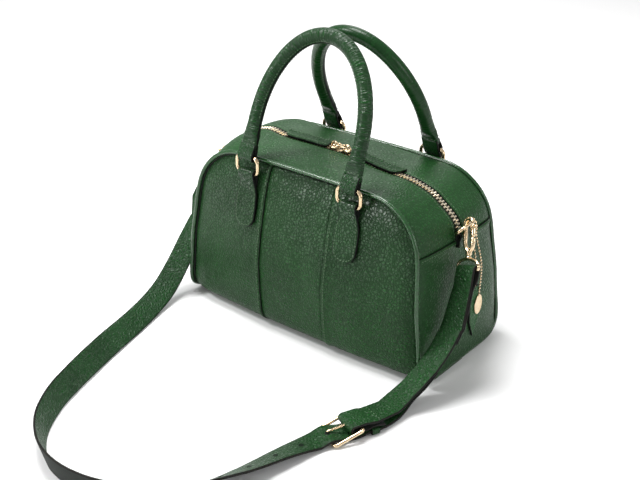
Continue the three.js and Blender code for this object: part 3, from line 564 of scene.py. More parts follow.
class Effects:
    """The shader groups that several finishes share, each built once."""

    @staticmethod
    def _group(name: str, scale: float, *results: str) -> tuple[NodeSheet, Socket, Socket]:
        """Starts a group that takes a place and a scale.

        Args:
            name: The group's name.
            scale: The scale's first value.
            *results: The names of what it gives out.

        Returns:
            The sheet, and the sockets of the place and the scale.
        """
        sheet = NodeSheet(bpy.data.node_groups.new(name, "ShaderNodeTree"))
        sheet.socket("Vector", "NodeSocketVector")
        sheet.socket("Scale", "NodeSocketFloat", value=scale)
        for result in results:
            sheet.socket(result, "NodeSocketFloat", output=True)
        given = sheet.node("NodeGroupInput")
        return sheet, given.outputs["Vector"], given.outputs["Scale"]

    @classmethod
    @cache
    def pebbles(cls) -> Tree:
        """Pebbled grain: rounded cells with fine creases between them.

        Returns:
            The group, with the grain's height, its creases and a value for each pebble.
        """
        sheet, place, scale = cls._group("pebbled_grain", 340.0, "Height", "Crease", "Pebble")
        bend = sheet.node("ShaderNodeTexNoise", {"Vector": place, "Scale": 210.0, "Detail": 2.0})
        swing = {0: bend.outputs["Color"], 1: (0.5, 0.5, 0.5)}
        centred = sheet.node("ShaderNodeVectorMath", swing, operation="SUBTRACT").outputs[0]
        small = sheet.node("ShaderNodeVectorMath", {0: centred, "Scale": 0.0026}, operation="SCALE")
        bent = sheet.node("ShaderNodeVectorMath", {0: place, 1: small.outputs[0]}, operation="ADD").outputs[0]
        given = {"Vector": bent, "Scale": scale}
        cells = sheet.node("ShaderNodeTexVoronoi", given, feature="DISTANCE_TO_EDGE")
        colours = sheet.node("ShaderNodeTexVoronoi", given, feature="F1")
        tint = sheet.node("ShaderNodeSeparateColor", {"Color": colours.outputs["Color"]}).outputs[0]
        rims = {"Value": cells.outputs["Distance"], "From Max": 0.42}
        domes = sheet.node("ShaderNodeMapRange", rims, interpolation_type="SMOOTHSTEP").outputs["Result"]
        rough = sheet.math("MULTIPLY_ADD", sheet.noise(place, 1300.0, 3.0), 0.16, domes)
        height = sheet.math("MULTIPLY_ADD", tint, 0.45, rough)
        crease = sheet.math("SUBTRACT", 1.0, domes)
        sheet.node("NodeGroupOutput", {"Height": height, "Crease": crease, "Pebble": tint})
        return sheet.tree

    @classmethod
    @cache
    def mottle(cls) -> Tree:
        """Slow cloudy change over a surface.

        Returns:
            The group, with the change as a mask.
        """
        sheet, place, scale = cls._group("soft_mottle", 18.0, "Mask")
        clouds = {"Vector": place, "Scale": scale, "Detail": 4.0, "Roughness": 0.55}
        broad = sheet.node("ShaderNodeTexNoise", clouds).outputs["Fac"]
        sheet.node("NodeGroupOutput", {"Mask": sheet.above(broad, (0.3, 0.7))})
        return sheet.tree


class Finish:
    """A material that is built once, from its own values."""

    name: str

    def material(self) -> Material:
        """The Blender material of this finish.

        Returns:
            The material, made on the first call.
        """
        found = bpy.data.materials.get(self.name)
        if found:
            return found
        made = bpy.data.materials.new(self.name)
        made.use_nodes = True
        made.node_tree.nodes.clear()
        sheet = NodeSheet(made.node_tree)
        shader = sheet.node("ShaderNodeBsdfPrincipled")
        sheet.node("ShaderNodeOutputMaterial", {"Surface": shader.outputs[0]})
        self.paint(sheet, shader, sheet.node("ShaderNodeTexCoord").outputs["Object"])
        return made

    def paint(self, sheet: NodeSheet, shader: Node, place: Socket) -> None:
        """Fills in the shader's inputs."""
        raise NotImplementedError


@dataclass(frozen=True)
class Leather(Finish):
    """Pebbled leather: tone in patches, painted shade in its creases, grain tight or slack in places."""

    name: str
    deep: Triple
    bright: Triple
    grain: float = 310.0
    relief: float = 0.0012
    tight: float = 0.35
    slack: float = 0.9
    rising: float = 0.4
    gloss: float = 0.27
    dull: float = 0.48
    pebble: float = 0.25
    # How far the creases between pebbles darken: painted shade
    crease: float = 0.5
    sheen: float = 0.22
    wax: float = 0.0
    wax_rough: float = 0.29
    patch_scale: float = 16.0
    slack_scale: float = 26.0
    slack_band: Span = (0.09, 0.165)
    wax_band: Span = (0.06, 0.16)
    wrapped: bool = False

    def paint(self, sheet: NodeSheet, shader: Node, place: Socket) -> None:
        """Colour by patch and pebble, painted shade in creases, gloss by crease, grain as bump, wax near the
        top.

        Args:
            sheet: The material's sheet.
            shader: Its shader.
            place: The coordinates of the surface.
        """
        if self.wrapped:
            place = sheet.node("ShaderNodeUVMap", uv_map=WRAP).outputs["UV"]
        height = sheet.node("ShaderNodeSeparateXYZ", {0: place}).outputs["Z"]
        given = {"Vector": place, "Scale": self.grain}
        grain = sheet.node("ShaderNodeGroup", given, node_tree=Effects.pebbles())
        creases = grain.outputs["Crease"]
        patch = sheet.mottled(place, self.patch_scale)
        both = sheet.math("MULTIPLY_ADD", grain.outputs["Pebble"], self.pebble, patch)
        tone = sheet.between(sheet.spread(both, 0.0, 0.9), self.deep, self.bright)
        # Painted shade: the creases between pebbles darken towards a fifth of the deep tone
        dark = tuple(0.2 * c for c in self.deep)
        colour = sheet.between(sheet.spread(creases, 0.0, self.crease), tone, dark)
        sheet.link(colour, shader.inputs["Base Color"])
        sheet.link(sheet.spread(creases, self.gloss, self.dull), shader.inputs["Roughness"])
        slack = self._slack(sheet, place, height)
        open_grain = sheet.math("MULTIPLY", grain.outputs["Height"], slack)
        bump = sheet.node("ShaderNodeBump", {"Height": open_grain, "Distance": self.relief})
        sheet.link(bump.outputs[0], shader.inputs["Normal"])
        shader.inputs["Specular IOR Level"].default_value = self.sheen
        if self.wax:
            upper = sheet.above(height, self.wax_band, self.wax)
            sheet.link(sheet.spread(creases, upper, 0.0), shader.inputs["Coat Weight"])
            shader.inputs["Coat Roughness"].default_value = self.wax_rough

    def _slack(self, sheet: NodeSheet, place: Socket, height: Socket) -> Socket:
        """How open the grain is: in patches, and more towards the top of the bag.

        Args:
            sheet: The material's sheet.
            place: The coordinates of the surface.
            height: The height over the floor.

        Returns:
            The grain's share of its full relief.
        """
        patches = sheet.spread(sheet.mottled(place, self.slack_scale), self.tight, self.slack)
        upper = sheet.above(height, self.slack_band)
        given = {0: upper, 1: self.rising, 2: patches}
        return sheet.node("ShaderNodeMath", given, operation="MULTIPLY_ADD", use_clamp=True).outputs[0]


@dataclass(frozen=True)
class TwoTone(Finish):
    """A finish whose colour and gloss run between two values with a pattern, under a fine bump."""

    name: str
    low: Triple
    high: Triple
    pattern: Pattern
    scale: float
    rough: Span = (0.4, 0.65)
    depth: float = 0.0001
    strength: float = 0.5
    sheen: float = 0.5
    metal: float = 0.0
    marks: float = 0.0

    def _mask(self, sheet: NodeSheet, place: Socket) -> Socket:
        """The pattern over the surface.

        Args:
            sheet: The material's sheet.
            place: The coordinates of the surface.

        Returns:
            The pattern as a mask.
        """
        if self.pattern is Pattern.MOTTLE:
            return sheet.mottled(place, self.scale)
        if self.pattern is Pattern.FIBRES:
            return sheet.noise(place, self.scale, 4.0)
        if self.pattern is Pattern.PLIES:
            return sheet.waves(place, self.scale, "DIAGONAL", 1.5)
        return sheet.math("MULTIPLY", *(sheet.waves(place, self.scale, way) for way in ("X", "Y")))

    def paint(self, sheet: NodeSheet, shader: Node, place: Socket) -> None:
        """Colour and gloss by the pattern, and the pattern or finer handling marks as bump.

        Args:
            sheet: The material's sheet.
            shader: Its shader.
            place: The coordinates of the surface.
        """
        mask = self._mask(sheet, place)
        sheet.link(sheet.between(mask, self.low, self.high), shader.inputs["Base Color"])
        sheet.link(sheet.spread(mask, *self.rough), shader.inputs["Roughness"])
        height = sheet.noise(place, self.marks, 2.0) if self.marks else mask
        given = {"Height": height, "Distance": self.depth, "Strength": self.strength}
        sheet.link(sheet.node("ShaderNodeBump", given).outputs[0], shader.inputs["Normal"])
        shader.inputs["Specular IOR Level"].default_value = self.sheen
        shader.inputs["Metallic"].default_value = self.metal


@dataclass(frozen=True)
class Backdrop(Finish):
    """The pale, matt studio floor."""

    name: str
    tone: Triple
    rough: float = 0.9

    def paint(self, sheet: NodeSheet, shader: Node, place: Socket) -> None:
        """One plain tone."""
        shader.inputs["Base Color"].default_value = (*self.tone, 1.0)
        shader.inputs["Roughness"].default_value = self.rough


BAG_LEATHER = Leather(
    "pebbled_bag_leather",
    (0.0072, 0.041, 0.0086),
    (0.0142, 0.077, 0.0158),
    grain=330.0,
    relief=0.0011,
    gloss=0.2,
    dull=0.44,
    pebble=0.32,
    crease=0.62,
    sheen=0.16,
    wax=1.0,
)
TOP_LEATHER = Leather(
    "smooth_top_leather", (0.010, 0.055, 0.012), (0.0147, 0.077, 0.0166), relief=0.0005, tight=0.2, rising=0.0
)
PIPING_LEATHER = Leather(
    "stretched_piping_leather",
    (0.010, 0.062, 0.013),
    (0.016, 0.088, 0.019),
    relief=0.00008,
    gloss=0.16,
    dull=0.24,
    sheen=0.6,
)
STRAP_LEATHER = Leather(
    "pebbled_strap_leather",
    (0.0065, 0.037, 0.0078),
    (0.0132, 0.072, 0.0158),
    relief=0.001,
    tight=0.6,
)
HANDLE_LEATHER = Leather(
    "rolled_handle_leather",
    (0.005, 0.034, 0.007),
    (0.012, 0.066, 0.014),
    grain=370.0,
    relief=0.0008,
    tight=0.6,
    gloss=0.19,
    dull=0.38,
    pebble=0.1,
    sheen=0.25,
    wrapped=True,
)
SMOOTH_HANDLE_LEATHER = Leather(
    "smooth_handle_leather",
    (0.006, 0.034, 0.008),
    (0.010, 0.054, 0.012),
    relief=0.0002,
    tight=0.2,
    gloss=0.24,
    dull=0.3,
    pebble=0.1,
    crease=0.3,
    sheen=0.2,
    wrapped=True,
)
# Painted light: the fob's leather is the bag's green about three times brighter, so that it reads as lit
LIT_TAG_LEATHER = Leather(
    "pebbled_tag_leather", (0.032, 0.12, 0.040), (0.052, 0.18, 0.062), relief=0.0018, tight=0.7
)
EDGE = TwoTone("edge_paint", (0.001, 0.002, 0.001), (0.003, 0.005, 0.003), Pattern.MOTTLE, 120.0, sheen=0.15)
STRAP_EDGE = replace(EDGE, name="strap_edge_paint", low=(0.002, 0.002, 0.0015), high=(0.008, 0.007, 0.005))
LINING = TwoTone(
    "flesh_side",
    (0.003, 0.006, 0.004),
    (0.008, 0.013, 0.009),
    Pattern.FIBRES,
    900.0,
    rough=(0.8, 0.95),
    depth=0.0002,
)
GOLD = TwoTone(
    "pale_gold",
    (0.62, 0.47, 0.29),
    (0.78, 0.63, 0.42),
    Pattern.MOTTLE,
    160.0,
    rough=(0.12, 0.26),
    depth=0.00002,
    strength=0.4,
    metal=1.0,
    marks=1400.0,
)
ZIP_GOLD = replace(
    GOLD, name="zip_gold", low=(0.84, 0.72, 0.52), high=(0.95, 0.86, 0.68), rough=(0.22, 0.36)
)
THREAD = TwoTone(
    "green_thread", (0.04, 0.09, 0.042), (0.11, 0.18, 0.095), Pattern.PLIES, 900.0, rough=(0.55, 0.72)
)
TAPE = TwoTone(
    "zip_tape",
    (0.006, 0.012, 0.008),
    (0.016, 0.03, 0.02),
    Pattern.WEAVE,
    1500.0,
    rough=(0.7, 0.9),
    depth=0.0002,
    strength=0.6,
)


def leather_finishes(grain: Leather = BAG_LEATHER, edge: TwoTone = EDGE) -> list[Material]:
    """The grain, edge and flesh materials of a leather piece."""
    return [grain.material(), edge.material(), LINING.material()]


def settle(piece: Piece, body: str, slot: str, *nodes: str) -> Piece:
    """Puts a finished piece on its body and in place of its solids.

    Args:
        piece: The finished piece.
        body: The body that it rides on.
        slot: The record's material slot; it is not used.
        *nodes: The solids that it stands for.

    Returns:
        The same piece.
    """
    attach(piece, body)
    if nodes:
        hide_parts(*nodes)
    LOG.info("%s: %d faces on %s", piece.name, len(piece.data.polygons), body)
    return piece


def leathered(
    shape: Shape, node: str, grain: Leather = BAG_LEATHER, body: str = BAG, mirror: bool = False
) -> Piece:
    """A piece of the bag's leather in place of its solid."""
    return settle(shape.build(f"{node}_leather", leather_finishes(grain), mirror), body, "bag_leather", node)


def gilded(shape: Shape, node: str, body: str = BAG, mirror: bool = False) -> Piece:
    """A gold piece in place of its solid."""
    return settle(shape.build(f"{node}_metal", [GOLD.material()], mirror), body, "gold_metal", node)


class Repeats:
    """Geometry Nodes trees for what repeats along a line, each built once."""

    @staticmethod
    def _tree(name: str, sizes: dict[str, float]) -> tuple[NodeSheet, Node]:
        """Starts a tree whose inputs are a geometry, named sizes and a material.

        Args:
            name: The tree's name.
            sizes: The first values of its sizes, in metres.

        Returns:
            The sheet and its input node.
        """
        sheet = NodeSheet(bpy.data.node_groups.new(name, "GeometryNodeTree"))
        sheet.socket("Geometry", "NodeSocketGeometry")
        for key, value in sizes.items():
            sheet.socket(key, "NodeSocketFloat", value=value)
        sheet.socket("Material", "NodeSocketMaterial")
        sheet.socket("Geometry", "NodeSocketGeometry", output=True)
        return sheet, sheet.node("NodeGroupInput")

    @staticmethod
    def _placed(sheet: NodeSheet, given: Node, unit: Socket) -> Socket:
        """Sets a unit along the line at every pitch, its X along it and its Z along the line's lift.

        Args:
            sheet: The tree's sheet.
            given: Its input node.
            unit: The unit's geometry.

        Returns:
            The instances.
        """
        line = sheet.node("GeometryNodeMeshToCurve", {"Mesh": given.outputs["Geometry"]}).outputs[0]
        spaced = {"Curve": line, "Length": given.outputs["Pitch"]}
        even = sheet.node("GeometryNodeResampleCurve", spaced, mode="LENGTH").outputs[0]
        lift = sheet.node("GeometryNodeInputNamedAttribute", {"Name": "lift"}, data_type="FLOAT_VECTOR")
        tangent = sheet.node("GeometryNodeInputTangent").outputs[0]
        ahead = sheet.node("FunctionNodeAlignRotationToVector", {"Vector": tangent}, axis="X")
        upright = sheet.node(
            "FunctionNodeAlignRotationToVector",
            {"Rotation": ahead.outputs[0], "Vector": lift.outputs[0]},
            axis="Z",
            pivot_axis="X",
        )
        placed = {"Points": even, "Instance": unit, "Rotation": upright.outputs[0]}
        return sheet.node("GeometryNodeInstanceOnPoints", placed).outputs[0]

    @staticmethod
    def _end(sheet: NodeSheet, given: Node, units: Socket) -> Tree:
        """Realizes the instances and gives them their material.

        Args:
            sheet: The tree's sheet.
            given: Its input node.
            units: The instances.

        Returns:
            The finished tree.
        """
        real = sheet.node("GeometryNodeRealizeInstances", {"Geometry": units}).outputs[0]
        dressed = {"Geometry": real, "Material": given.outputs["Material"]}
        done = sheet.node("GeometryNodeSetMaterial", dressed).outputs[0]
        sheet.node("NodeGroupOutput", {"Geometry": done})
        return sheet.tree

    @staticmethod
    def _tube(sheet: NodeSheet, line: Socket, radius: Socket) -> Socket:
        """A six-sided tube along a line."""
        profile = sheet.node("GeometryNodeCurvePrimitiveCircle", {"Resolution": 6, "Radius": radius})
        given = {"Curve": line, "Profile Curve": profile.outputs[0]}
        return sheet.node("GeometryNodeCurveToMesh", given).outputs[0]

    @staticmethod
    def _joined(sheet: NodeSheet, first: Socket, second: Socket) -> Socket:
        """Two geometries as one."""
        both = sheet.node("GeometryNodeJoinGeometry", {"Geometry": first})
        sheet.link(second, both.inputs[0])
        return both.outputs[0]

    @classmethod
    @cache
    def stitches(cls) -> Tree:
        """A row of plump stitches.

        Returns:
            The tree.
        """
        sizes = {"Pitch": 0.0032, "Length": 0.0024, "Width": 0.0007, "Height": 0.0007}
        sheet, given = cls._tree("stitch_row", sizes)
        axes = {axis: given.outputs[key] for axis, key in (("X", "Length"), ("Y", "Width"), ("Z", "Height"))}
        size = sheet.node("ShaderNodeCombineXYZ", axes).outputs[0]
        ball = sheet.node("GeometryNodeMeshUVSphere", {"Segments": 6, "Rings": 5, "Radius": 0.5}).outputs[0]
        stitch = sheet.node("GeometryNodeTransform", {"Geometry": ball, "Scale": size}).outputs[0]
        soft = sheet.node("GeometryNodeSetShadeSmooth", {"Geometry": stitch}).outputs[0]
        return cls._end(sheet, given, cls._placed(sheet, given, soft))

    @classmethod
    @cache
    def teeth(cls) -> Tree:
        """A row of zip teeth, each a short rounded bar across the zip.

        Returns:
            The tree.
        """
        sheet, given = cls._tree("zip_teeth", {"Pitch": 0.0036, "Radius": 0.001, "Reach": 0.0042})
        sizes = {"Vertices": 8, "Radius": given.outputs["Radius"], "Depth": given.outputs["Reach"]}
        bar = sheet.node("GeometryNodeMeshCylinder", sizes).outputs[0]
        across = {"Geometry": bar, "Rotation": (math.pi / 2, 0, 0)}
        laid = sheet.node("GeometryNodeTransform", across).outputs[0]
        return cls._end(sheet, given, cls._placed(sheet, given, laid))

    @classmethod
    @cache
    def beads(cls) -> Tree:
        """A ball chain: beads with a thin link between them.

        Returns:
            The tree.
        """
        sheet, given = cls._tree("ball_chain", {"Pitch": 0.0034, "Bead": 0.0011, "Link": 0.0002})
        size = {"Segments": 12, "Rings": 8, "Radius": given.outputs["Bead"]}
        ball = sheet.node("GeometryNodeMeshUVSphere", size).outputs[0]
        soft = sheet.node("GeometryNodeSetShadeSmooth", {"Geometry": ball}).outputs[0]
        line = sheet.node("GeometryNodeMeshToCurve", {"Mesh": given.outputs["Geometry"]}).outputs[0]
        links = cls._tube(sheet, line, given.outputs["Link"])
        return cls._end(sheet, given, cls._joined(sheet, links, cls._placed(sheet, given, soft)))

    @classmethod
    @cache
    def holes(cls) -> Tree:
        """A row of punched holes, each a low rim round a dark dish: cut edge and painted shade in the hole.

        Returns:
            The tree.
        """
        sheet, given = cls._tree("punched_holes", {"Pitch": 0.026, "Radius": 0.002, "Rim": 0.0004})
        radius, rim = given.outputs["Radius"], given.outputs["Rim"]
        ring = sheet.node("GeometryNodeCurvePrimitiveCircle", {"Resolution": 14, "Radius": radius}).outputs[0]
        # Painted shade: the dark dish stands for the inside of the hole
        dish = sheet.node("GeometryNodeMeshCylinder", {"Vertices": 14, "Radius": radius, "Depth": rim})
        both = cls._joined(sheet, cls._tube(sheet, ring, rim), dish.outputs[0])
        return cls._end(sheet, given, cls._placed(sheet, given, both))

    @staticmethod
    def run(name: str, tree: Tree, lines: Sequence[tuple[Line, Line]], material: Material) -> Piece:
        """Runs a tree over lines and keeps the result as a plain mesh.

        Args:
            name: The new piece's name.
            tree: The tree to run.
            lines: Lines in millimetres, each with its lift directions.
            material: The finish of the made pieces.

        Returns:
            The finished piece.
        """
        points, edges, lifts = [], [], []
        for line, lift in lines:
            start = len(points)
            points.extend(p * MM for p in line)
            lifts.extend(lift)
            edges.extend((start + i, start + i + 1) for i in range(len(line) - 1))
        guide = bpy.data.meshes.new(f"{name}_line")
        guide.from_pydata(points, edges, [])
        attribute = guide.attributes.new("lift", "FLOAT_VECTOR", "POINT")
        attribute.data.foreach_set("vector", [c for v in lifts for c in v])
        carrier = bpy.data.objects.new(f"{name}_guide", guide)
        bpy.context.scene.collection.objects.link(carrier)
        modifier = carrier.modifiers.new("rows", "NODES")
        modifier.node_group = tree
        named = {item.name: item.identifier for item in tree.interface.items_tree if item.in_out == "INPUT"}
        modifier[named["Material"]] = material
        seen = carrier.evaluated_get(bpy.context.evaluated_depsgraph_get())
        mesh = bpy.data.meshes.new_from_object(seen)
        bpy.data.objects.remove(carrier)
        piece = bpy.data.objects.new(name, mesh)
        bpy.context.scene.collection.objects.link(piece)
        return piece


@dataclass
class SewingBook:
    """The rows of stitches, kept by the body that they ride on."""

    rows: dict[str, list[tuple[Line, Line]]] = field(default_factory=dict)

    def row(self, body: str, line: Line, lift: Line) -> None:
        """Notes one row of stitches."""
        self.rows.setdefault(body, []).append((line, lift))

    def sew(self) -> None:
        """Makes one thread piece for each body."""
        for body, rows in self.rows.items():
            name = body.replace("_body", "") + "_stitches"
            piece = Repeats.run(name, Repeats.stitches(), rows, THREAD.material())
            settle(piece, body, "bag_leather")


SEWING = SewingBook()


@dataclass(frozen=True)
class BodyForm:
    """The shape of the bag's body, which every piece on it follows."""

    half_width: float = 150.0
    taper: float = 20.0
    height: float = 173.0
    corner_radius: float = 55.0
    half_depth: float = 68.5
    base_radius: float = 22.0
    lean_depth: float = 11.5
    lean_start: float = 75.0
    belly_depth: float = 8.5
    belly_low: float = -25.0
    belly_power: float = 2.6
    piping_radius: float = 2.0
    proud: float = 1.0
    piping_base: float = 2.2
    seam_x: float = 40.0
    seam_z: float = 127.0
    back_crown_power: float = 5.0
    roll_rise: float = 1.9
    roll_depth: float = 4.8
    roll_reach: float = 10.0
    tuck: float = 0.3
    pucker: float = 0.55
    pucker_pitch: float = 5.5
    pucker_reach: float = 9.0
    wave: float = 0.8
    wave_reach: float = 18.0
    gusset_roll: float = 1.6
    gusset_roll_reach: float = 3.5
    gusset_tuck: float = 0.5
    gusset_pucker: float = 0.4
    gusset_pucker_pitch: float = 6.0
    gusset_pucker_reach: float = 8.0
    gusset_wave: float = 0.5
    gusset_wave_reach: float = 12.0
    # Share of the way from the base to the middle of the top, and the gusset's bulge on the right and left
    crown: tuple[Triple, ...] = (
        (0.0, 2.0, 2.0), (0.18, 7.0, 7.0), (0.42, 4.2, 4.2), (0.49, 4.4, 4.4),
        (0.58, -0.8, 12.0), (0.67, -2.4, 9.0), (0.76, -0.8, 5.5), (1.0, 6.0, 6.0),
    )
    # Soft dents of the front and back: x, z, reach in x, reach in z, depth
    dents: tuple[tuple[float, float, float, float, float], ...] = (
        (-98, 70, 30, 62, 2.2), (98, 62, 26, 60, 2.6), (12, 92, 15, 70, 1.6), (-124, 38, 16, 34, -1.4),
    )

    @property
    def side_up(self) -> Vector:
        """The direction of the right side, upwards, as x and z."""
        return Vector((-self.taper, self.height)).normalized()

    @property
    def corner(self) -> Vector:
        """The centre of the top right corner, as x and z."""
        z = self.height - self.corner_radius
        reach = (z - self.corner_radius * self.side_up.x) / self.side_up.y
        return Vector((self.half_width + reach * self.side_up.x - self.corner_radius * self.side_up.y, z))

    @property
    def tangent(self) -> float:
        """The angle where the corner's arc meets the side."""
        return math.asin(-self.side_up.x)

    @property
    def tangent_z(self) -> float:
        """The height where the corner's arc meets the side."""
        return self.corner.y + self.corner_radius * math.sin(self.tangent)

    @property
    def side_run(self) -> float:
        """The length of the sloped side."""
        return self.tangent_z / self.side_up.y

    @property
    def corner_run(self) -> float:
        """The length of the corner's arc."""
        return self.corner_radius * (math.pi / 2 - self.tangent)

    @property
    def half_run(self) -> float:
        """The length from the base edge to the middle of the top."""
        return self.side_run + self.corner_run + self.corner.x

    def half_width_at(self, z: float, out: float = 0.0) -> float:
        """Half the width at a height.

        Args:
            z: The height.
            out: How far the outline is moved out.

        Returns:
            The half width.
        """
        radius, up = self.corner_radius + out, self.side_up
        if z <= self.corner.y + radius * math.sin(self.tangent):
            return self.half_width + out / up.y + z * up.x / up.y
        return self.corner.x + math.sqrt(max(radius**2 - (z - self.corner.y) ** 2, 0.0))

    def half_depth_at(self, z: float) -> float:
        """Half the depth between the pipings at a height."""
        share = min(max((z - self.lean_start) / (self.height - self.lean_start), 0.0), 1.0)
        return self.half_depth - self.lean_depth * share

    def belly_at(self, x: float, z: float) -> float:
        """How far the front or back leather stands past its edges.

        Args:
            x: The place across.
            z: The height.

        Returns:
            The swell, less the dents.
        """
        share = min(max((z - self.belly_low) / (self.height - self.belly_low), 0.0), 1.0)
        across = max(1 - min(abs(x) / self.half_width_at(max(z, 0.0)), 1.0) ** self.belly_power, 0.0)
        swell = self.belly_depth * math.sin(math.pi * share) * across
        for dx, dz, rx, rz, depth in self.dents:
            far = ((x - dx) / rx) ** 2 + ((z - dz) / rz) ** 2
            swell -= depth * math.exp(-2 * far) * min(1.0, 3 * across)
        return swell

    def edge(self, x: float, z: float) -> Span:
        """Where the piping's centre line passes a place on the front.

        Args:
            x: The place across.
            z: The height.

        Returns:
            The distance to the line, and the run along it from the base edge.
        """
        dx, dz = abs(x) - self.corner.x, z - self.corner.y
        if dx > 0 and dz > 0:
            run = self.side_run + (math.atan2(dz, dx) - self.tangent) * self.corner_radius
            return self.corner_radius - math.hypot(dx, dz), run
        distance = min(self.height - z, (self.half_width_at(z) - abs(x)) * self.side_up.y)
        return distance, self.half_run - abs(x) if dz > 0 else z

    def relief(self, x: float, z: float, side: int) -> float:
        """The leather's own unevenness: rolled edges, puckers at the piping and slow waves.

        Args:
            x: The place across.
            z: The height.
            side: -1 for the front, 1 for the back.

        Returns:
            The rise over the plain form.
        """
        distance, run = self.edge(x, z)
        d = max(distance - self.piping_radius, 0.0)
        rolled = self.roll_rise - self.roll_depth * math.exp(-d / self.roll_reach) - self.tuck * math.exp(-d)
        sign = 1 if x > 0 else -1
        pucker = noise.noise(Vector((run / self.pucker_pitch, sign * 5.0, side * 9.0)))
        slow = noise.noise(Vector((x / 52, z / 60, side * 4.0)))
        puckered = rolled + self.pucker * pucker * math.exp(-d / self.pucker_reach)
        return puckered + self.wave * slow * (1 - math.exp(-d / self.wave_reach))

    def front_point(self, x: float, z: float, side: int, raised: float = 0.0) -> Vector:
        """A place on the front (side -1) or back (side 1) leather, raised off it."""
        out = self.half_depth_at(z) + self.proud + self.belly_at(x, z) + self.relief(x, z, side)
        return Vector((x, side * (out + raised), z))

    def front_normal(self, x: float, z: float, side: int) -> Vector:
        """The outward direction of the front or back leather.

        Args:
            x: The place across.
            z: The height.
            side: -1 for the front, 1 for the back.

        Returns:
            The unit direction.
        """
        dx = self.front_point(x + 1, z, side) - self.front_point(x - 1, z, side)
        dz = self.front_point(x, z + 1, side) - self.front_point(x, z - 1, side)
        normal = dx.cross(dz).normalized()
        return normal if normal.y * side > 0 else -normal

    def gusset_line(self, run: float) -> tuple[float, float, float, float]:
        """The outline at a run along the right half of the gusset.

        Args:
            run: The distance from the base edge.

        Returns:
            The place and the outward direction there, each as x and z.
        """
        up, corner = self.side_up, self.corner
        if run <= self.side_run:
            t = run / self.side_run
            x = self.half_width + (self.half_width_at(self.tangent_z) - self.half_width) * t
            return x, t * self.tangent_z, up.y, -up.x
        if run <= self.side_run + self.corner_run:
            a = self.tangent + (run - self.side_run) / self.corner_radius
            nx, nz = math.cos(a), math.sin(a)
            return corner.x + self.corner_radius * nx, corner.y + self.corner_radius * nz, nx, nz
        return self.half_run - run, self.height, 0.0, 1.0

    def gusset_point(self, run: float, y: float, raised: float = 0.0) -> Vector:
        """A place on the gusset.

        Args:
            run: The way from the right base edge over the top to the left.
            y: The place across the gusset.
            raised: How far the place is raised off the leather.

        Returns:
            The place.
        """
        sign = -1 if run > self.half_run else 1
        here = min(run, 2 * self.half_run - run)
        x, z, nx, nz = self.gusset_line(here)
        share = abs(y) / self.half_depth_at(z)
        across = max(1 - share ** (2 if y < 0 else self.back_crown_power), 0.0)
        crown = table_value(self.crown, min(max(here / self.half_run, 0.0), 1.0), 1 if sign > 0 else 2)
        d = max(self.half_depth_at(z) - abs(y) - self.piping_radius, 0.0)
        rolled = -self.gusset_roll * math.exp(-d / self.gusset_roll_reach) - self.gusset_tuck * math.exp(-d)
        pucker = noise.noise(Vector((run / self.gusset_pucker_pitch, 3.0 if y > 0 else -3.0, 2.0)))
        pucker *= self.gusset_pucker * math.exp(-d / self.gusset_pucker_reach)
        slow = noise.noise(Vector((run / 45, y / 40, 8.0))) * self.gusset_wave
        slow *= (1 - math.exp(-d / self.gusset_wave_reach)) * ramp(4, 14, abs(y))
        out = self.proud + crown * across + rolled + pucker + slow + raised
        return Vector((sign * (x + nx * out), y, z + nz * out))

    def gusset_normal(self, run: float, y: float) -> Vector:
        """The outward direction of the gusset."""
        return (self.gusset_point(run, y, 1.0) - self.gusset_point(run, y, 0.0)).normalized()


FORM = BodyForm()


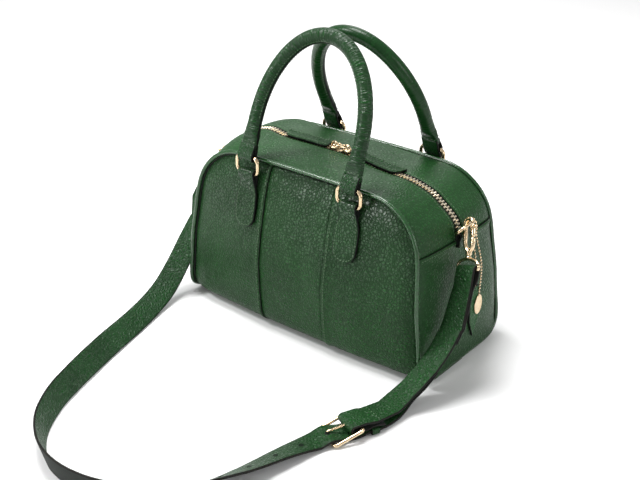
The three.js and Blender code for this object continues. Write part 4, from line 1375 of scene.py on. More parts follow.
@dataclass
class BodyShell:
    """The leather strips, ends, zip strips and piping of the body."""

    wall: float = 1.9
    inset: float = 1.1
    seam_gap: float = 0.2
    lip: float = 1.3
    lip_reach: float = 9.0
    zip_gap: float = 5.4
    # A dark cord under each welt paints the seam's shade: how far it is sunk and its radius
    core_sunk: float = 1.5
    core_radius: float = 1.5
    stitch_inset: float = 2.6
    stitch_rise: float = 0.45
    stitch_sunk: float = 0.35
    base_lift: float = 0.1
    edge_slack: float = 0.15
    foot_slack: float = 0.45
    foot_round: float = 0.55
    # How far each welt stands out of the broad side, the ends and the top
    front_welt: Triple = (0.7, 0.8, 0.9)
    back_welt: Triple = (0.9, 0.2, -1.2)

    def _rows(self) -> list[tuple[float, float, int]]:
        """Rows from the front top edge, under the base, to the back top edge.

        Returns:
            The rows as height, turn under the base in degrees, and side.
        """
        radius = FORM.corner_radius - self.inset
        turns = steps(90, math.degrees(FORM.tangent), 26)
        half = [(FORM.corner.y + radius * cos_sin(turn)[1], 0.0) for turn in turns]
        half += [(z, 0.0) for z in steps(FORM.tangent_z, FORM.base_radius, 34)[1:]]
        half += [(FORM.base_radius, turn) for turn in steps(0, 90, 8)[1:]]
        front = [(z, turn, -1) for z, turn in half]
        back = [(z, turn, 1) for z, turn in reversed(half)]
        return [*front, (FORM.base_radius, 90.0, 0), *back]

    def _skin(self, row: tuple[float, float, int], x: float, raised: float) -> Vector:
        """A place on a body strip.

        Args:
            row: The strip's row.
            x: The place across.
            raised: How far the place is raised off the outer face.

        Returns:
            The place.
        """
        z, turn, side = row
        if turn == 0:
            return FORM.front_point(x, z, side, raised)
        c, s = cos_sin(turn)
        soft = (FORM.belly_at(x, z) + FORM.relief(x, z, side)) * c**2
        reach = FORM.base_radius + soft + raised
        middle = FORM.half_depth + FORM.proud - FORM.base_radius
        return Vector((x, side * (middle + reach * c), FORM.base_radius - reach * s + self.base_lift))

    def _lip(self, x: float) -> float:
        """How far a side strip rises where it laps over the middle strip."""
        return self.lip * (1 - ramp(FORM.seam_x + 2, FORM.seam_x + self.lip_reach, abs(x)))

    def strip(self, name: str, node: str, low: float | None, high: float | None, columns: int) -> None:
        """One strip of body leather.

        Args:
            name: The piece's name.
            node: The solid that it replaces.
            low: Its left edge, or nothing for the piping.
            high: Its right edge, or nothing for the piping.
            columns: The number of faces across.
        """
        laps = low is None or high is None
        outer, inner = [], []
        for row in self._rows():
            z = row[0] if row[1] == 0 else self._skin(row, 0.0, 0.0).z
            half = FORM.half_width_at(max(z, 0.0), -self.inset)
            span = steps(-half if low is None else low, half if high is None else high, columns)
            level = cos_sin(row[1])[0] ** 2
            lifts = [self._lip(x) * level if laps else 0.0 for x in span]
            outer.append([self._skin(row, x, lift) for x, lift in zip(span, lifts)])
            inner.append([self._skin(row, x, -self.wall) for x in span])
        settle(Shape().wall(outer, inner).build(name, leather_finishes()), BAG, "bag_leather", node)

    def seams(self) -> None:
        """Stitches beside both lapped seams, front and back, and under the base."""
        for sign in (-1, 1):
            x = sign * (FORM.seam_x + self.stitch_inset)
            line, lift = [], []
            for row in self._rows():
                level = cos_sin(row[1])[0] ** 2
                line.append(self._skin(row, x, (self._lip(x) + self.stitch_rise) * level - self.stitch_sunk))
                lift.append(FORM.front_normal(x, row[0], row[2] or 1) if row[1] < 60 else -Z_AXIS)
            SEWING.row(BAG, line, lift)

    @staticmethod
    def _welt_line(sign: int, proud: float, side_out: float, top_out: float) -> Line:
        """The line of a welt round one broad side.

        Args:
            sign: The broad side, as the sign of Y.
            proud: How far it stands out of the broad side.
            side_out: How far it stands out of the ends.
            top_out: How far it stands out of the top.

        Returns:
            The line from the left of the base, over the top, to the right.
        """
        low = FORM.half_depth - FORM.base_radius
        edge = -FORM.half_width_at(0) - side_out
        half = [Vector((edge, sign * y, FORM.piping_base)) for y in (GAP / 2, low - 4)]
        for turn in (90, 60, 30, 0):
            c, s = cos_sin(turn)
            sunk = FORM.proud + (FORM.piping_base - FORM.proud) * s**2
            z = FORM.base_radius - (FORM.base_radius - sunk) * s
            y = low + (FORM.base_radius + FORM.proud - sunk + proud) * c
            half.append(Vector((-FORM.half_width_at(z) - side_out, sign * y, z)))
        bend = FORM.side_run + FORM.corner_run
        rising = steps(FORM.base_radius / FORM.side_up.y, FORM.side_run, 4)
        for run in (*rising[1:], *steps(FORM.side_run, bend, 6)[1:]):
            x, z, nx, nz = FORM.gusset_line(run)
            out = side_out + (top_out - side_out) * nz
            half.append(Vector((-x - nx * out, sign * (FORM.half_depth_at(z) + proud), z + nz * out)))
        return spline([*half, *[p * MIRROR for p in reversed(half)]], 8)

    def piping(self, side: Side) -> None:
        """The welt round one broad side, standing out of a seam darkened by a sunk cord of edge paint, a
        painted shade.

        Args:
            side: The broad side.
        """
        proud, side_out, top_out = self.front_welt if side is Side.FRONT else self.back_welt
        line = self._welt_line(side.value, proud, side_out, top_out)
        wander = [FORM.piping_radius * (1.05 + 0.04 * noise.noise(p / 7.0)) for p in line]
        # Painted shade: the cord in edge paint, sunk under the welt, shows as a dark band along the seam
        sunk = -self.core_sunk
        seam_shade_cord = self._welt_line(side.value, sunk, sunk, sunk + min(top_out, 0.0))
        shape = Shape().wire(line, wander).wire(seam_shade_cord, self.core_radius, sides=8, slot=1)
        name = f"{side.word}_piping"
        finishes = [PIPING_LEATHER.material(), EDGE.material()]
        settle(shape.build(f"{name}_welt", finishes), BAG, "bag_leather", name)

    def end_panel(self, end: End) -> None:
        """One end of the bag, up to the gusset seam.

        Args:
            end: The end.
        """
        lowest = FORM.piping_base + self.inset + self.foot_slack
        corner_y, corner_z = FORM.base_radius - self.inset - self.foot_round, FORM.base_radius - lowest
        middle = FORM.half_depth - FORM.base_radius
        low = [lowest + (FORM.base_radius - lowest) * t**1.8 for t in steps(0, 1, 9)]
        outer, inner = [], []
        for z in [*low, *steps(FORM.base_radius, FORM.seam_z - self.seam_gap, 26)[1:]]:
            under = min(max((FORM.base_radius - z) / corner_z, 0.0), 1.0)
            rounded = middle + corner_y * math.sqrt(1 - under**2)
            half = rounded if under > 0 else FORM.half_depth_at(z) - self.inset - self.edge_slack
            lip = self.lip * (1 - ramp(2, self.lip_reach, FORM.seam_z - z))
            run = self._end_run(end, z)
            for grid, raised in ((outer, lip), (inner, -self.wall)):
                grid.append([FORM.gusset_point(run, y, raised) for y in steps(-half, half, 30)])
        name = f"{end.word}_end"
        panel = Shape().wall(outer, inner).build(f"{name}_leather", leather_finishes(TOP_LEATHER))
        settle(panel, BAG, "bag_leather", f"{name}_panel")
        run, reach = self._end_run(end, FORM.seam_z - self.stitch_inset), FORM.half_depth_at(FORM.seam_z) - 5
        line = [FORM.gusset_point(run, y, self.lip) for y in steps(-reach, reach, 40)]
        SEWING.row(BAG, line, [FORM.gusset_normal(run, p.y) for p in line])

    @staticmethod
    def _end_run(end: End, z: float) -> float:
        """The run along the gusset of a height on one of the sloped ends."""
        run = z / FORM.side_up.y
        return run if end is End.RIGHT else 2 * FORM.half_run - run

    def zip_strip(self, side: Side) -> None:
        """One strip of the top, from the zip to the piping.

        Args:
            side: The broad side that it lies next to.
        """
        start = FORM.seam_z / FORM.side_up.y + self.seam_gap
        runs = steps(start, 2 * FORM.half_run - start, 120)
        outer, inner = [], []
        for run in runs:
            here = min(run, 2 * FORM.half_run - run)
            edge = FORM.half_depth_at(FORM.gusset_line(here)[1]) - self.inset - self.edge_slack
            span = [self.zip_gap + (edge - self.zip_gap) * t for t in steps(0, 1, 18)]
            for grid, raised in ((outer, 0.0), (inner, -self.wall)):
                grid.append([FORM.gusset_point(run, side.value * y, raised) for y in span])
        leathered(Shape().wall(outer, inner), f"{side.word}_zip_strip", TOP_LEATHER)
        y = side.value * (self.zip_gap + self.stitch_inset)
        line = [FORM.gusset_point(r, y, 0.1) for r in runs]
        SEWING.row(BAG, line, [FORM.gusset_normal(r, y) for r in runs])

    def build(self) -> None:
        """Makes the whole body."""
        edge = FORM.seam_x + self.seam_gap
        self.strip("left_strip_leather", "left_body_panel", None, -edge + 0.3, 26)
        self.strip("centre_strip_leather", "centre_body_panel", -edge + 0.5, edge - 0.5, 20)
        self.strip("right_strip_leather", "right_body_panel", edge - 0.3, None, 26)
        self.seams()
        for side in Side:
            self.piping(side)
            self.zip_strip(side)
        for end in End:
            self.end_panel(end)


@dataclass
class ZipClosure:
    """The zip's tape, teeth, flaps, sliders and pulls."""

    tape_half: float = 5.2
    tape_drop: float = 1.3
    tape_thick: float = 0.8
    tooth_y: float = 1.5
    tooth_drop: float = 0.75
    tooth_shift: float = 1.8
    flap_inner: float = 15.0
    flap_outer: float = 72.0
    flap_front: float = -4.6
    flap_back: float = 10.0
    flap_round: float = 9.0
    flap_thick: float = 2.9
    stitch_inset: float = 2.4
    slider_x: float = 7.6
    slider_half: float = 5.4
    slider_height: float = 3.0
    bail_wire: float = 0.8
    pin_rise: float = 1.6
    pull_half: float = 2.5
    pull_length: float = 6.9
    pull_wire: float = 0.72
    # Height over the slider's seat, and how far its outline grows there
    slider_rows: tuple[Span, ...] = ((0.0, -0.5), (0.4, 0.0), (2.2, 0.0), (2.8, -0.4), (3.0, -1.0))
    # Half of the bail: along the zip from its middle, and height over the slider
    bail: tuple[Span, ...] = ((4.2, -0.6), (3.7, 1.6), (2.4, 3.4))
    bail_crest: float = 3.9
    # Half of the pull's loop: shares of its length and of its half width
    pull: tuple[Span, ...] = ((0.0, 1.0), (0.12, 1.0), (0.4, 1.0), (0.72, 1.3), (0.95, 0.9), (1.0, 0.0))

    def chain(self) -> None:
        """The tape and two rows of meshed teeth."""
        start = FORM.seam_z / FORM.side_up.y + GAP
        runs = steps(start, 2 * FORM.half_run - start, 150)
        across = steps(-self.tape_half, self.tape_half, 4)
        outer = [[FORM.gusset_point(r, y, -self.tape_drop) for y in across] for r in runs]
        inner = [[FORM.gusset_point(r, y, -self.tape_drop - self.tape_thick) for y in across] for r in runs]
        tape = Shape().wall(outer, inner)
        settle(tape.build("zip_tape_band", [TAPE.material()]), BAG, "zip_metal", "zip_chain")
        lines = []
        for y, shift in ((-self.tooth_y, 0.0), (self.tooth_y, self.tooth_shift)):
            tooth_runs = steps(start + shift, 2 * FORM.half_run - start, 300)
            line = [FORM.gusset_point(r, y, -self.tooth_drop) for r in tooth_runs]
            lines.append((line, [FORM.gusset_normal(r, y) for r in tooth_runs]))
        settle(Repeats.run("zip_teeth_rows", Repeats.teeth(), lines, ZIP_GOLD.material()), BAG, "zip_metal")

    def flap(self, end: End) -> None:
        """A tongue on the back strip that laps over the teeth, round at its outer end.

        Args:
            end: The end that it points to.
        """
        xs = steps(self.flap_inner, self.flap_outer - self.flap_round, 16)
        xs += [self.flap_outer - self.flap_round * (1 - cos_sin(a)[1]) for a in steps(8, 88, 10)]
        back = self.flap_back
        reach = back - 1 - self.flap_front
        drops = [0.7, 0.2, *[0.0] * 9, 0.2, 0.7]
        outer, inner, front_line = [], [], []
        for x in xs:
            into = min(max((x - self.flap_outer + self.flap_round) / self.flap_round, 0.0), 0.985)
            front = back - 1 - reach * math.sqrt(1 - into**2)
            run = FORM.half_run - end.value * x
            ys = [front, front + 0.5, *steps(front + 1.2, back - 1.2, 8), back - 0.5, back]
            outer.append([FORM.gusset_point(run, y, GAP + self.flap_thick - d) for y, d in zip(ys, drops)])
            inner.append([FORM.gusset_point(run, y, GAP) for y in ys])
            if back - front > 4:
                front_line.append((run, front + self.stitch_inset))
        leathered(Shape().wall(outer, inner), f"{end.word}_zip_flap", STRAP_LEATHER)
        top = GAP + self.flap_thick + 0.1
        back_line = [(run, back - self.stitch_inset) for run, _ in front_line]
        for rows in (front_line, back_line):
            line = [FORM.gusset_point(run, y, top) for run, y in rows]
            SEWING.row(BAG, line, [FORM.gusset_normal(run, y) for run, y in rows])

    def slider(self, end: End) -> None:
        """A slider with its arched bail, and the pull that hinges under it.

        Args:
            end: The end that the slider is nearer to.
        """
        seat = FORM.gusset_point(FORM.half_run - end.value * self.slider_x, 0.0, GAP)
        inward = X_AXIS * -end.value
        rings = []
        for z, grow in self.slider_rows:
            ring = []
            for a in steps(0, 360, 24)[:-1]:
                c, s = cos_sin(a)
                u = math.copysign(abs(c) ** 0.5, c) * (self.slider_half + grow)
                v = math.copysign(abs(s) ** 0.6, s) * (4.0 + 0.6 * c + grow)
                ring.append(seat - inward * u + Y_AXIS * v + Z_AXIS * z)
            rings.append(ring)
        top = seat + Z_AXIS * self.slider_height
        arch = [*[(-u, h) for u, h in self.bail], (0, self.bail_crest), *reversed(self.bail)]
        bail = spline([top + inward * u + Z_AXIS * h for u, h in arch], 4)
        gilded(Shape().loft(rings).wire(bail, self.bail_wire, sides=10), f"{end.word}_zip_slider")
        pin = top + Z_AXIS * self.pin_rise
        outline = [*self.pull, *[(u, -w) for u, w in reversed(self.pull[:-1])], self.pull[0]]
        loop = [pin + Y_AXIS * (self.pull_half * w) + inward * (self.pull_length * u) for u, w in outline]
        pull = Shape().wire(spline(loop, 5)[:-1], self.pull_wire, sides=10, closed=True)
        gilded(pull, f"{end.word}_zip_pull", f"{end.word}_pull_body")

    def build(self) -> None:
        """Makes the whole zip."""
        self.chain()
        for end in End:
            self.flap(end)
            self.slider(end)


@dataclass
class CarryHandles:
    """The rolled handles with their rings and tabs."""

    ring_x: float = 62.3
    ring_out: float = 7.3
    ring_z: float = 170.0
    ring_half_height: float = 8.3
    ring_half_width: float = 13.4
    ring_corner: float = 5.5
    ring_wire: float = 1.9
    leg: float = 40.0
    rise: float = 89.5
    half_span: float = 62.8
    tube: float = 7.0
    front_lean: float = 22.0
    back_lean: float = 26.0
    loop: float = 3.3
    back_slack: float = 8.0
    slack_taper: float = 1.1
    loop_thick: float = 2.0
    tab_half: float = 10.0
    fold_half: float = 9.25
    flats: int = 32
    along_scale: float = 1.05
    around_scale: float = 0.16
    # Distance up the leg, width and thickness of the handle
    sections: tuple[Triple, ...] = (
        (8.0, 18.2, 4.6), (10.0, 18.5, 5.6), (17.0, 18.0, 7.4), (26.0, 15.0, 12.8), (34.0, 14.0, 14.0),
    )
    # Distance below the ring bar, half width of the tab's tongue
    tongue: tuple[Span, ...] = (
        (0.0, 10.0), (9.0, 10.0), (14.0, 10.6), (22.0, 13.0), (33.0, 13.6), (43.0, 13.4),
    )
    tongue_round: float = 12.0
    # Distance up the leg, distance of a fold's layer from the bar's middle, up to the loop
    fold: tuple[Span, ...] = ((12.5, 2.0), (9.0, 2.1), (5.0, 2.9))
    stitch_inset: float = 2.3
    stitch_rise: float = 3.75
    seam_angle: float = 24.0

    def tongue_half(self, below: float, inset: float = 0.0) -> float:
        """Half the width of a tab's tongue, which has a round end.

        Args:
            below: The distance below the ring bar.
            inset: How far the outline is moved in.

        Returns:
            The half width.
        """
        last, half = self.tongue[-1]
        if below <= last:
            return table_value(self.tongue, below, 1) - inset
        share = min((below - last) / (self.tongue_round - inset), 1.0)
        return max((half - inset) * math.sqrt(1 - share**2), 0.0)

    @property
    def bar_y(self) -> float:
        """The distance of the ring bars from the bag's middle plane."""
        z = self.ring_z - self.ring_half_height
        return FORM.half_depth_at(z) + FORM.proud + FORM.belly_at(self.ring_x, z) + self.ring_out

    def ring(self, end: End, side: Side) -> None:
        """An oval ring with straight bars.

        Args:
            end: The ring's end of the bag.
            side: Its broad side.
        """
        middle = Vector((end.value * self.ring_x, side.value * self.bar_y, self.ring_z))
        reach = (self.ring_half_width, self.ring_half_height)
        points = rounded_loop(middle, X_AXIS, Z_AXIS, reach, self.ring_corner, 8)
        shape = Shape().wire(points, self.ring_wire, sides=14, closed=True)
        gilded(shape, f"{side.word}_{end.word}_handle_ring")

    def tab(self, end: End, side: Side) -> None:
        """A strip of leather folded round the ring's lower bar and sewn down the panel as a tongue.

        Args:
            end: The tab's end of the bag.
            side: Its broad side.
        """
        x, bar_z = end.value * self.ring_x, self.ring_z - self.ring_half_height
        bar = Vector((x, side.value * self.bar_y, bar_z))
        out = Y_AXIS * side.value
        right, left = (FORM.front_point(x + dx, bar_z - 40, side.value) for dx in (8, -8))
        wide = Vector((1, (right.y - left.y) / 16, 0)).normalized() * -side.value
        loop = [FORM.front_point(x, bar_z - b, side.value, GAP + self.loop_thick / 2) for b in (15.0, 10.0)]
        loop.append(bar - Z_AXIS * 5.0 - out * self.loop)
        loop += arc(bar, -out, Z_AXIS, self.loop, 0, 180, 12)
        loop.append(bar - Z_AXIS * 4.0 + out * (self.loop - 0.7))
        strap = strap_along(loop, X_AXIS * -side.value, self.tab_half, self.loop_thick)
        end_round = [43 + self.tongue_round * cos_sin(a)[1] for a in (15, 30, 42, 53, 63, 72, 79, 84, 87)]
        for below in (9.0, 12.0, 15.0, 18.5, *steps(22, 43, 8), *end_round):
            thick = 2.2 + ramp(10, 20, below) * 0.9
            raised = 3.5 - thick / 2 + 2.6 * (1 - ramp(8, 16, below))
            point = FORM.front_point(x, bar_z - below, side.value, raised)
            strap.append(Station(point, wide, self.tongue_half(below), thick))
        leathered(Shape().ribbon(strap), f"{side.word}_{end.word}_handle_tab")
        self._tab_stitches(x, bar_z, side.value)

    def _tab_stitches(self, x: float, bar_z: float, side: int) -> None:
        """The border stitches of a tab and the row across it below the ring.

        Args:
            x: The tab's middle.
            bar_z: The height of the ring's lower bar.
            side: -1 for the front, 1 for the back.
        """
        inset = self.stitch_inset
        rounds = [43 + (self.tongue_round - inset) * cos_sin(a)[1] for a in steps(0, 90, 9)]
        right = [(x + self.tongue_half(b, inset), bar_z - b) for b in (*steps(14, 42, 14), *rounds)]
        left = [(2 * x - px, pz) for px, pz in reversed(right)]
        across = [(px, bar_z - 13.0) for px in steps(x - 7.4, x + 7.4, 10)]
        for row in ([*right, *left], across):
            line = [FORM.front_point(px, pz, side, self.stitch_rise) for px, pz in row]
            SEWING.row(BAG, line, [FORM.front_normal(px, pz, side) for px, pz in row])

    def _section(self, centre: Vector, wide: Vector, thick: Vector, size: Span) -> Line:
        """One cross-section of a handle, square where it is flat and with a seam ridge on its inner side.

        Args:
            centre: The section's middle.
            wide: The direction of its width.
            thick: The direction of its thickness.
            size: Its width and thickness.

        Returns:
            The points round it.
        """
        square = min(max((size[0] / size[1] - 1) * 2, 0.0), 1.0)
        power = 1 - 0.45 * square
        made = []
        for a in steps(0, 360, self.flats)[:-1]:
            c, s = (-v for v in cos_sin(a))
            off = min(a, 360 - a)
            ridge = 1 + (1 - square) * 0.10 * math.exp(-((off / 9) ** 2))
            groove = 1 - (1 - square) * 0.03 * math.exp(-(((off - 20) / 7) ** 2))
            u = math.copysign(abs(c) ** power, c) * size[0] / 2 * ridge * groove
            v = math.copysign(abs(s) ** power, s) * size[1] / 2 * groove
            made.append(centre + wide * u + thick * v)
        return made

    def handle(self, side: Side, lean: float) -> None:
        """A rolled tube whose flat ends fold round the rings' upper bars.

        Args:
            side: The handle's broad side.
            lean: Its lean towards the bag's middle, in degrees.
        """
        base = Vector((0, side.value * self.bar_y, self.ring_z + self.ring_half_height))
        c, s = cos_sin(lean)
        up = Vector((0, -side.value * s, c))
        thick = X_AXIS.cross(up)
        front = side is Side.FRONT
        grain, slack = (HANDLE_LEATHER, 0.0) if front else (SMOOTH_HANDLE_LEATHER, self.back_slack)
        heights = [*steps(8, 34, 16), 37.0]
        flat = [tuple(table_value(self.sections, h, column) for column in (1, 2)) for h in heights]
        spine = [(base + X_AXIS * self.half_span + up * h, X_AXIS) for h in heights]
        for degrees in steps(0, 180, 72):
            c, s = cos_sin(degrees)
            centre = base + X_AXIS * (self.half_span * c) + up * (self.leg + self.rise * s)
            spine.append((centre, (X_AXIS * (self.rise * c) + up * (self.half_span * s)).normalized()))
        bow = spine[len(heights) :]
        spine += [(base - X_AXIS * self.half_span + up * h, -X_AXIS) for h in reversed(heights)]
        sizes = [*flat, *[(2 * self.tube, 2 * self.tube)] * len(bow), *reversed(flat)]
        rings = [self._section(centre, wide, thick, size) for (centre, wide), size in zip(spine, sizes)]
        painted = (0, self.flats - 1)
        paint = [Face.EDGE.value if a in painted else Face.GRAIN.value for a in range(self.flats)]
        shape = Shape().loft(rings, paint)
        around = steps(0, math.pi * 2 * self.tube, self.flats)[:-1]
        gone = 0.0
        for i, (centre, _) in enumerate(spine):
            gone += (centre - spine[i - 1][0]).length if i else 0.0
            shape.wrap += [(gone * self.along_scale * MM, a * self.around_scale * MM) for a in around]
        for sign in (-1, 1):
            self._fold(shape, base + X_AXIS * (sign * self.half_span), up, thick, slack)
        shape.wrap += [(p.x * MM, p.z * MM) for p in shape.points[len(shape.wrap) :]]
        body = f"{side.word}_handle_body"
        leathered(shape, f"{side.word}_handle", grain, body)
        self._handle_stitches(body, base, up, thick, bow)

    def _fold(self, shape: Shape, bar: Vector, up: Vector, thick: Vector, slack: float) -> None:
        """The flat end of a handle, folded round a ring bar.

        Args:
            shape: The handle's shape, which gets the fold.
            bar: The middle of the ring's upper bar.
            up: The direction of the handle's leg.
            thick: The direction through the handle.
            slack: How far the fold hangs below the bar.
        """
        layer = [*self.fold, (0.5, self.loop)]
        turn = self.loop - (self.slack_taper if slack else 0.0)
        points = [bar + up * h - thick * d for h, d in layer]
        points += arc(bar - up * slack, -thick, -up, turn, 0, 180, 12)
        points += [bar + up * h + thick * d for h, d in reversed(layer)]
        shape.ribbon(strap_along(points, -X_AXIS, self.fold_half, self.loop_thick))

    def _handle_stitches(
        self, body: str, base: Vector, up: Vector, thick: Vector, bow: list[tuple[Vector, Vector]]
    ) -> None:
        """Rows on both sides of the rolled seam, and one across each flat end.

        Args:
            body: The handle's body.
            base: The middle between the rings' upper bars.
            up: The direction of the handle's legs.
            thick: The direction through the handle.
            bow: The centres and width directions of the rolled part.
        """
        c, s = cos_sin(180 - self.seam_angle)
        for sign in (-1, 1):
            reach = [wide * c + thick * (sign * s) for _, wide in bow]
            line = [centre + way * (self.tube + 0.05) for (centre, _), way in zip(bow, reach)]
            SEWING.row(body, line, reach)
            for end in (-1, 1):
                foot = base + X_AXIS * (end * self.half_span) + up * 15.0 + thick * (sign * 3.55)
                row = [foot + X_AXIS * u for u in steps(-7.5, 7.5, 8)]
                SEWING.row(body, row, [thick * sign] * len(row))

    def build(self) -> None:
        """Makes both handles and what holds them."""
        for side, lean in ((Side.FRONT, self.front_lean), (Side.BACK, self.back_lean)):
            for end in End:
                self.ring(end, side)
                self.tab(end, side)
            self.handle(side, lean)


@dataclass(frozen=True)
class Fitting:
    """Where one end's D-ring, hook and swivel eye lie, worked out on the right end."""

    bar: Vector
    out: Vector
    foot: Vector
    up: Vector
    wide: Vector
    eye: Vector

    def place(self, across: float, height: float) -> Vector:
        """A place in the hook's own plane."""
        return self.foot + self.wide * across + self.up * height


@dataclass
class StrapEnds:
    """What joins the strap to the ends of the bag: tabs, D-rings, snap hooks and swivel eyes."""

    ring_angle: float = 16.5
    stand_off: float = 4.3
    ring_half: float = 12.0
    ring_depth: float = 11.0
    ring_wire: float = 1.5
    ring_foot: BowFoot = BowFoot(2.0, 0.3, 0.9, 4.0)
    right_rise: float = 52.0
    left_rise: float = 15.0
    tab_half: float = 7.9
    tab_thick: float = 1.8
    tab_loop: float = 2.6
    hook_half: float = 5.4
    hook_length: float = 34.5
    hook_wire: float = 1.7
    hook_swell: float = 0.35
    hook_lean: Span = (8.3, -12.0)
    hook_facing: Triple = (0.93, -0.33, 0.15)
    hook_inset: float = 1.2
    hook_slack: float = 1.6
    gate_foot: float = 16.4
    gate_end: float = 28.6
    gate_radius: float = 2.1
    nose_angle: float = 27.0
    eye_drop: float = 13.0
    eye_half: float = 14.6
    eye_wire: float = 1.5
    eye_slack: float = 0.6
    eye_foot: BowFoot = BowFoot(2.4, 0.5, 1.2, 3.0)
    # The tab's layers under and over the ring's bar: distance below the bar, height over the gusset
    tab_under: tuple[Span, ...] = ((13.0, 1.2), (8.0, 1.2), (4.0, 1.4))
    tab_over: tuple[Span, ...] = ((3.6, 6.2), (7.0, 3.9), (13.0, 3.1))
    tab_rows: tuple[Span, ...] = ((8.6, 4.6), (11.4, 4.2))
    # The hook's swivel stem: height and radius
    stem: tuple[Span, ...] = (
        (-2.6, 2.4), (-2.4, 3.0), (-1.2, 3.0), (-1.0, 2.0), (0.0, 2.0),
        (0.4, 2.9), (4.2, 2.9), (4.6, 2.4), (5.2, 1.0),
    )

    @property
    def ring_run(self) -> float:
        """How far along the gusset the D-ring's bar lies."""
        return FORM.side_run + (math.radians(self.ring_angle) - FORM.tangent) * FORM.corner_radius

    @staticmethod
    def _smooth(run: float, raised: float) -> Vector:
        """A place on the gusset's middle line without the leather's unevenness.

        Args:
            run: The way from the base edge.
            raised: How far the place is raised.

        Returns:
            The place.
        """
        x, z, nx, nz = FORM.gusset_line(run)
        out = FORM.proud + table_value(FORM.crown, run / FORM.half_run, 1) + raised
        return Vector((x + nx * out, 0.0, z + nz * out))

    def fitting(self, end: End) -> Fitting:
        """Works out the places of one end's pieces, before the left end's are mirrored.

        Args:
            end: The end.

        Returns:
            The places.
        """
        c, s = cos_sin(self.right_rise if end is End.RIGHT else self.left_rise)
        out = Vector((c, 0, s))
        bar = self._smooth(self.ring_run, self.stand_off)
        bow = bar + out * self.ring_depth
        top_z = bow.z + self.ring_wire + GAP + self.hook_wire + self.hook_slack
        top = Vector((bow.x - self.hook_inset, 0, top_z))
        lean_x, lean_y = self.hook_lean
        hang = math.sqrt((self.hook_length - 1) ** 2 - lean_x**2 - lean_y**2)
        foot = Vector((top.x + lean_x, lean_y, top.z - hang))
        up = (top - foot).normalized()
        facing = Vector(self.hook_facing)
        wide = (facing - up * facing.dot(up)).normalized()
        foot = foot + wide * (self.hook_half - self.hook_wire - self.ring_wire - 2 * GAP)
        return Fitting(bar, out, foot, up, wide, foot - up * self.eye_drop)

    def tab(self, end: End) -> None:
        """A leather loop from the gusset seam round the D-ring's bar.

        Args:
            end: The end.
        """
        outward = (self._smooth(self.ring_run, 1.0) - self._smooth(self.ring_run, 0.0)).normalized()
        along = Y_AXIS.cross(outward).normalized()
        along = along if along.z > 0 else -along
        points = [self._smooth(self.ring_run - d, r) for d, r in self.tab_under]
        points += arc(self.fitting(end).bar, -outward, along, self.tab_loop, 0, 180, 10)
        points += [self._smooth(self.ring_run - d, r) for d, r in self.tab_over]
        strap = strap_along(points, Y_AXIS, self.tab_half, self.tab_thick)
        leathered(Shape().ribbon(strap), f"{end.word}_end_tab", mirror=end is End.LEFT)
        sign = Vector((end.value, 1, 1))
        for d, r in self.tab_rows:
            middle = self._smooth(self.ring_run - d, r) * sign
            row = [middle + Y_AXIS * y for y in steps(-5.8, 5.8, 6)]
            SEWING.row(BAG, row, [outward * sign] * len(row))

    def d_ring(self, end: End) -> None:
        """A D-ring whose bow stands out from the end.

        Args:
            end: The end.
        """
        fit = self.fitting(end)
        points = d_loop(fit.bar, Y_AXIS, fit.out, self.ring_half, self.ring_depth, self.ring_foot)
        shape = Shape().wire(points, self.ring_wire, closed=True)
        gilded(shape, f"{end.word}_d_ring", mirror=end is End.LEFT)

    def hook(self, end: End) -> None:
        """A snap hook: swivel stem, bar and nose, and the gate's post.

        Args:
            end: The end.
        """
        fit, half = self.fitting(end), self.hook_half
        bar = spline([fit.place(*p) for p in ((-1, 3.5), (-0.7 * half, 6.5), (-half, 11), (-half, 20))], 6)
        crest = fit.place(0, self.hook_length - 1 - half)
        bar += arc(crest, fit.wide, fit.up, half, 180, self.nose_angle, 22)
        radius = self.hook_wire + self.hook_swell
        taper = [radius - 0.25 * ramp(0.55, 0.8, i / len(bar)) for i in range(len(bar))]
        post = [fit.place(*p) for p in ((1, 3.5), (0.7 * half, 6.5), (0.97 * half, 11))]
        post.append(fit.place(half, self.gate_foot - GAP))
        shape = Shape().wire([fit.place(0, h) for h, _ in self.stem], [r for _, r in self.stem], sides=20)
        shape.wire(bar, taper, sides=14).wire(spline(post, 6), radius + 0.2, sides=14)
        gilded(shape, f"{end.word}_hook", mirror=end is End.LEFT)

    def gate(self, end: End) -> None:
        """The hook's gate with its thumb lug, as a moving piece.

        Args:
            end: The end.
        """
        fit, half = self.fitting(end), self.hook_half
        rounds = [cos_sin(a) for a in (85, 60, 35, 15, 0)]
        line = [fit.place(half, self.gate_foot + self.gate_radius * (1 - s)) for _, s in rounds]
        line += [fit.place(half, self.gate_end - short) for short in (1.0, 0.3, 0.0)]
        radii = [self.gate_radius * c for c, _ in rounds]
        shape = Shape().wire(line, [*radii, self.gate_radius, self.gate_radius - 0.3, 1.0], sides=14)
        lug = [fit.place(half + u, self.gate_end - 2) for u in (0.5, 2.7, 3.8, 4.3)]
        shape.wire(lug, [1.4, 1.3, 1.3, 0.7])
        gilded(shape, f"{end.word}_hook_gate", f"{end.word}_gate_body", end is End.LEFT)

    def swivel_eye(self, end: End) -> None:
        """The flat-sided eye that the strap folds round.

        Args:
            end: The end.
        """
        fit = self.fitting(end)
        reach = self.eye_drop - 1 - self.eye_wire - GAP - self.eye_slack
        points = d_loop(fit.eye, fit.wide, fit.up, self.eye_half, reach, self.eye_foot)
        shape = Shape().wire(points, self.eye_wire, closed=True)
        gilded(shape, f"{end.word}_swivel_eye", mirror=end is End.LEFT)

    def build(self) -> None:
        """Makes both ends' fittings."""
        for end in End:
            self.tab(end)
            self.d_ring(end)
            self.hook(end)
            self.gate(end)
            self.swivel_eye(end)


@dataclass(frozen=True)
class RouteRow:
    """One row of a strap's route: tilt lifts the outer edge, and lift is the height over a lying strap."""

    x: float
    y: float
    tilt: float
    lift: float


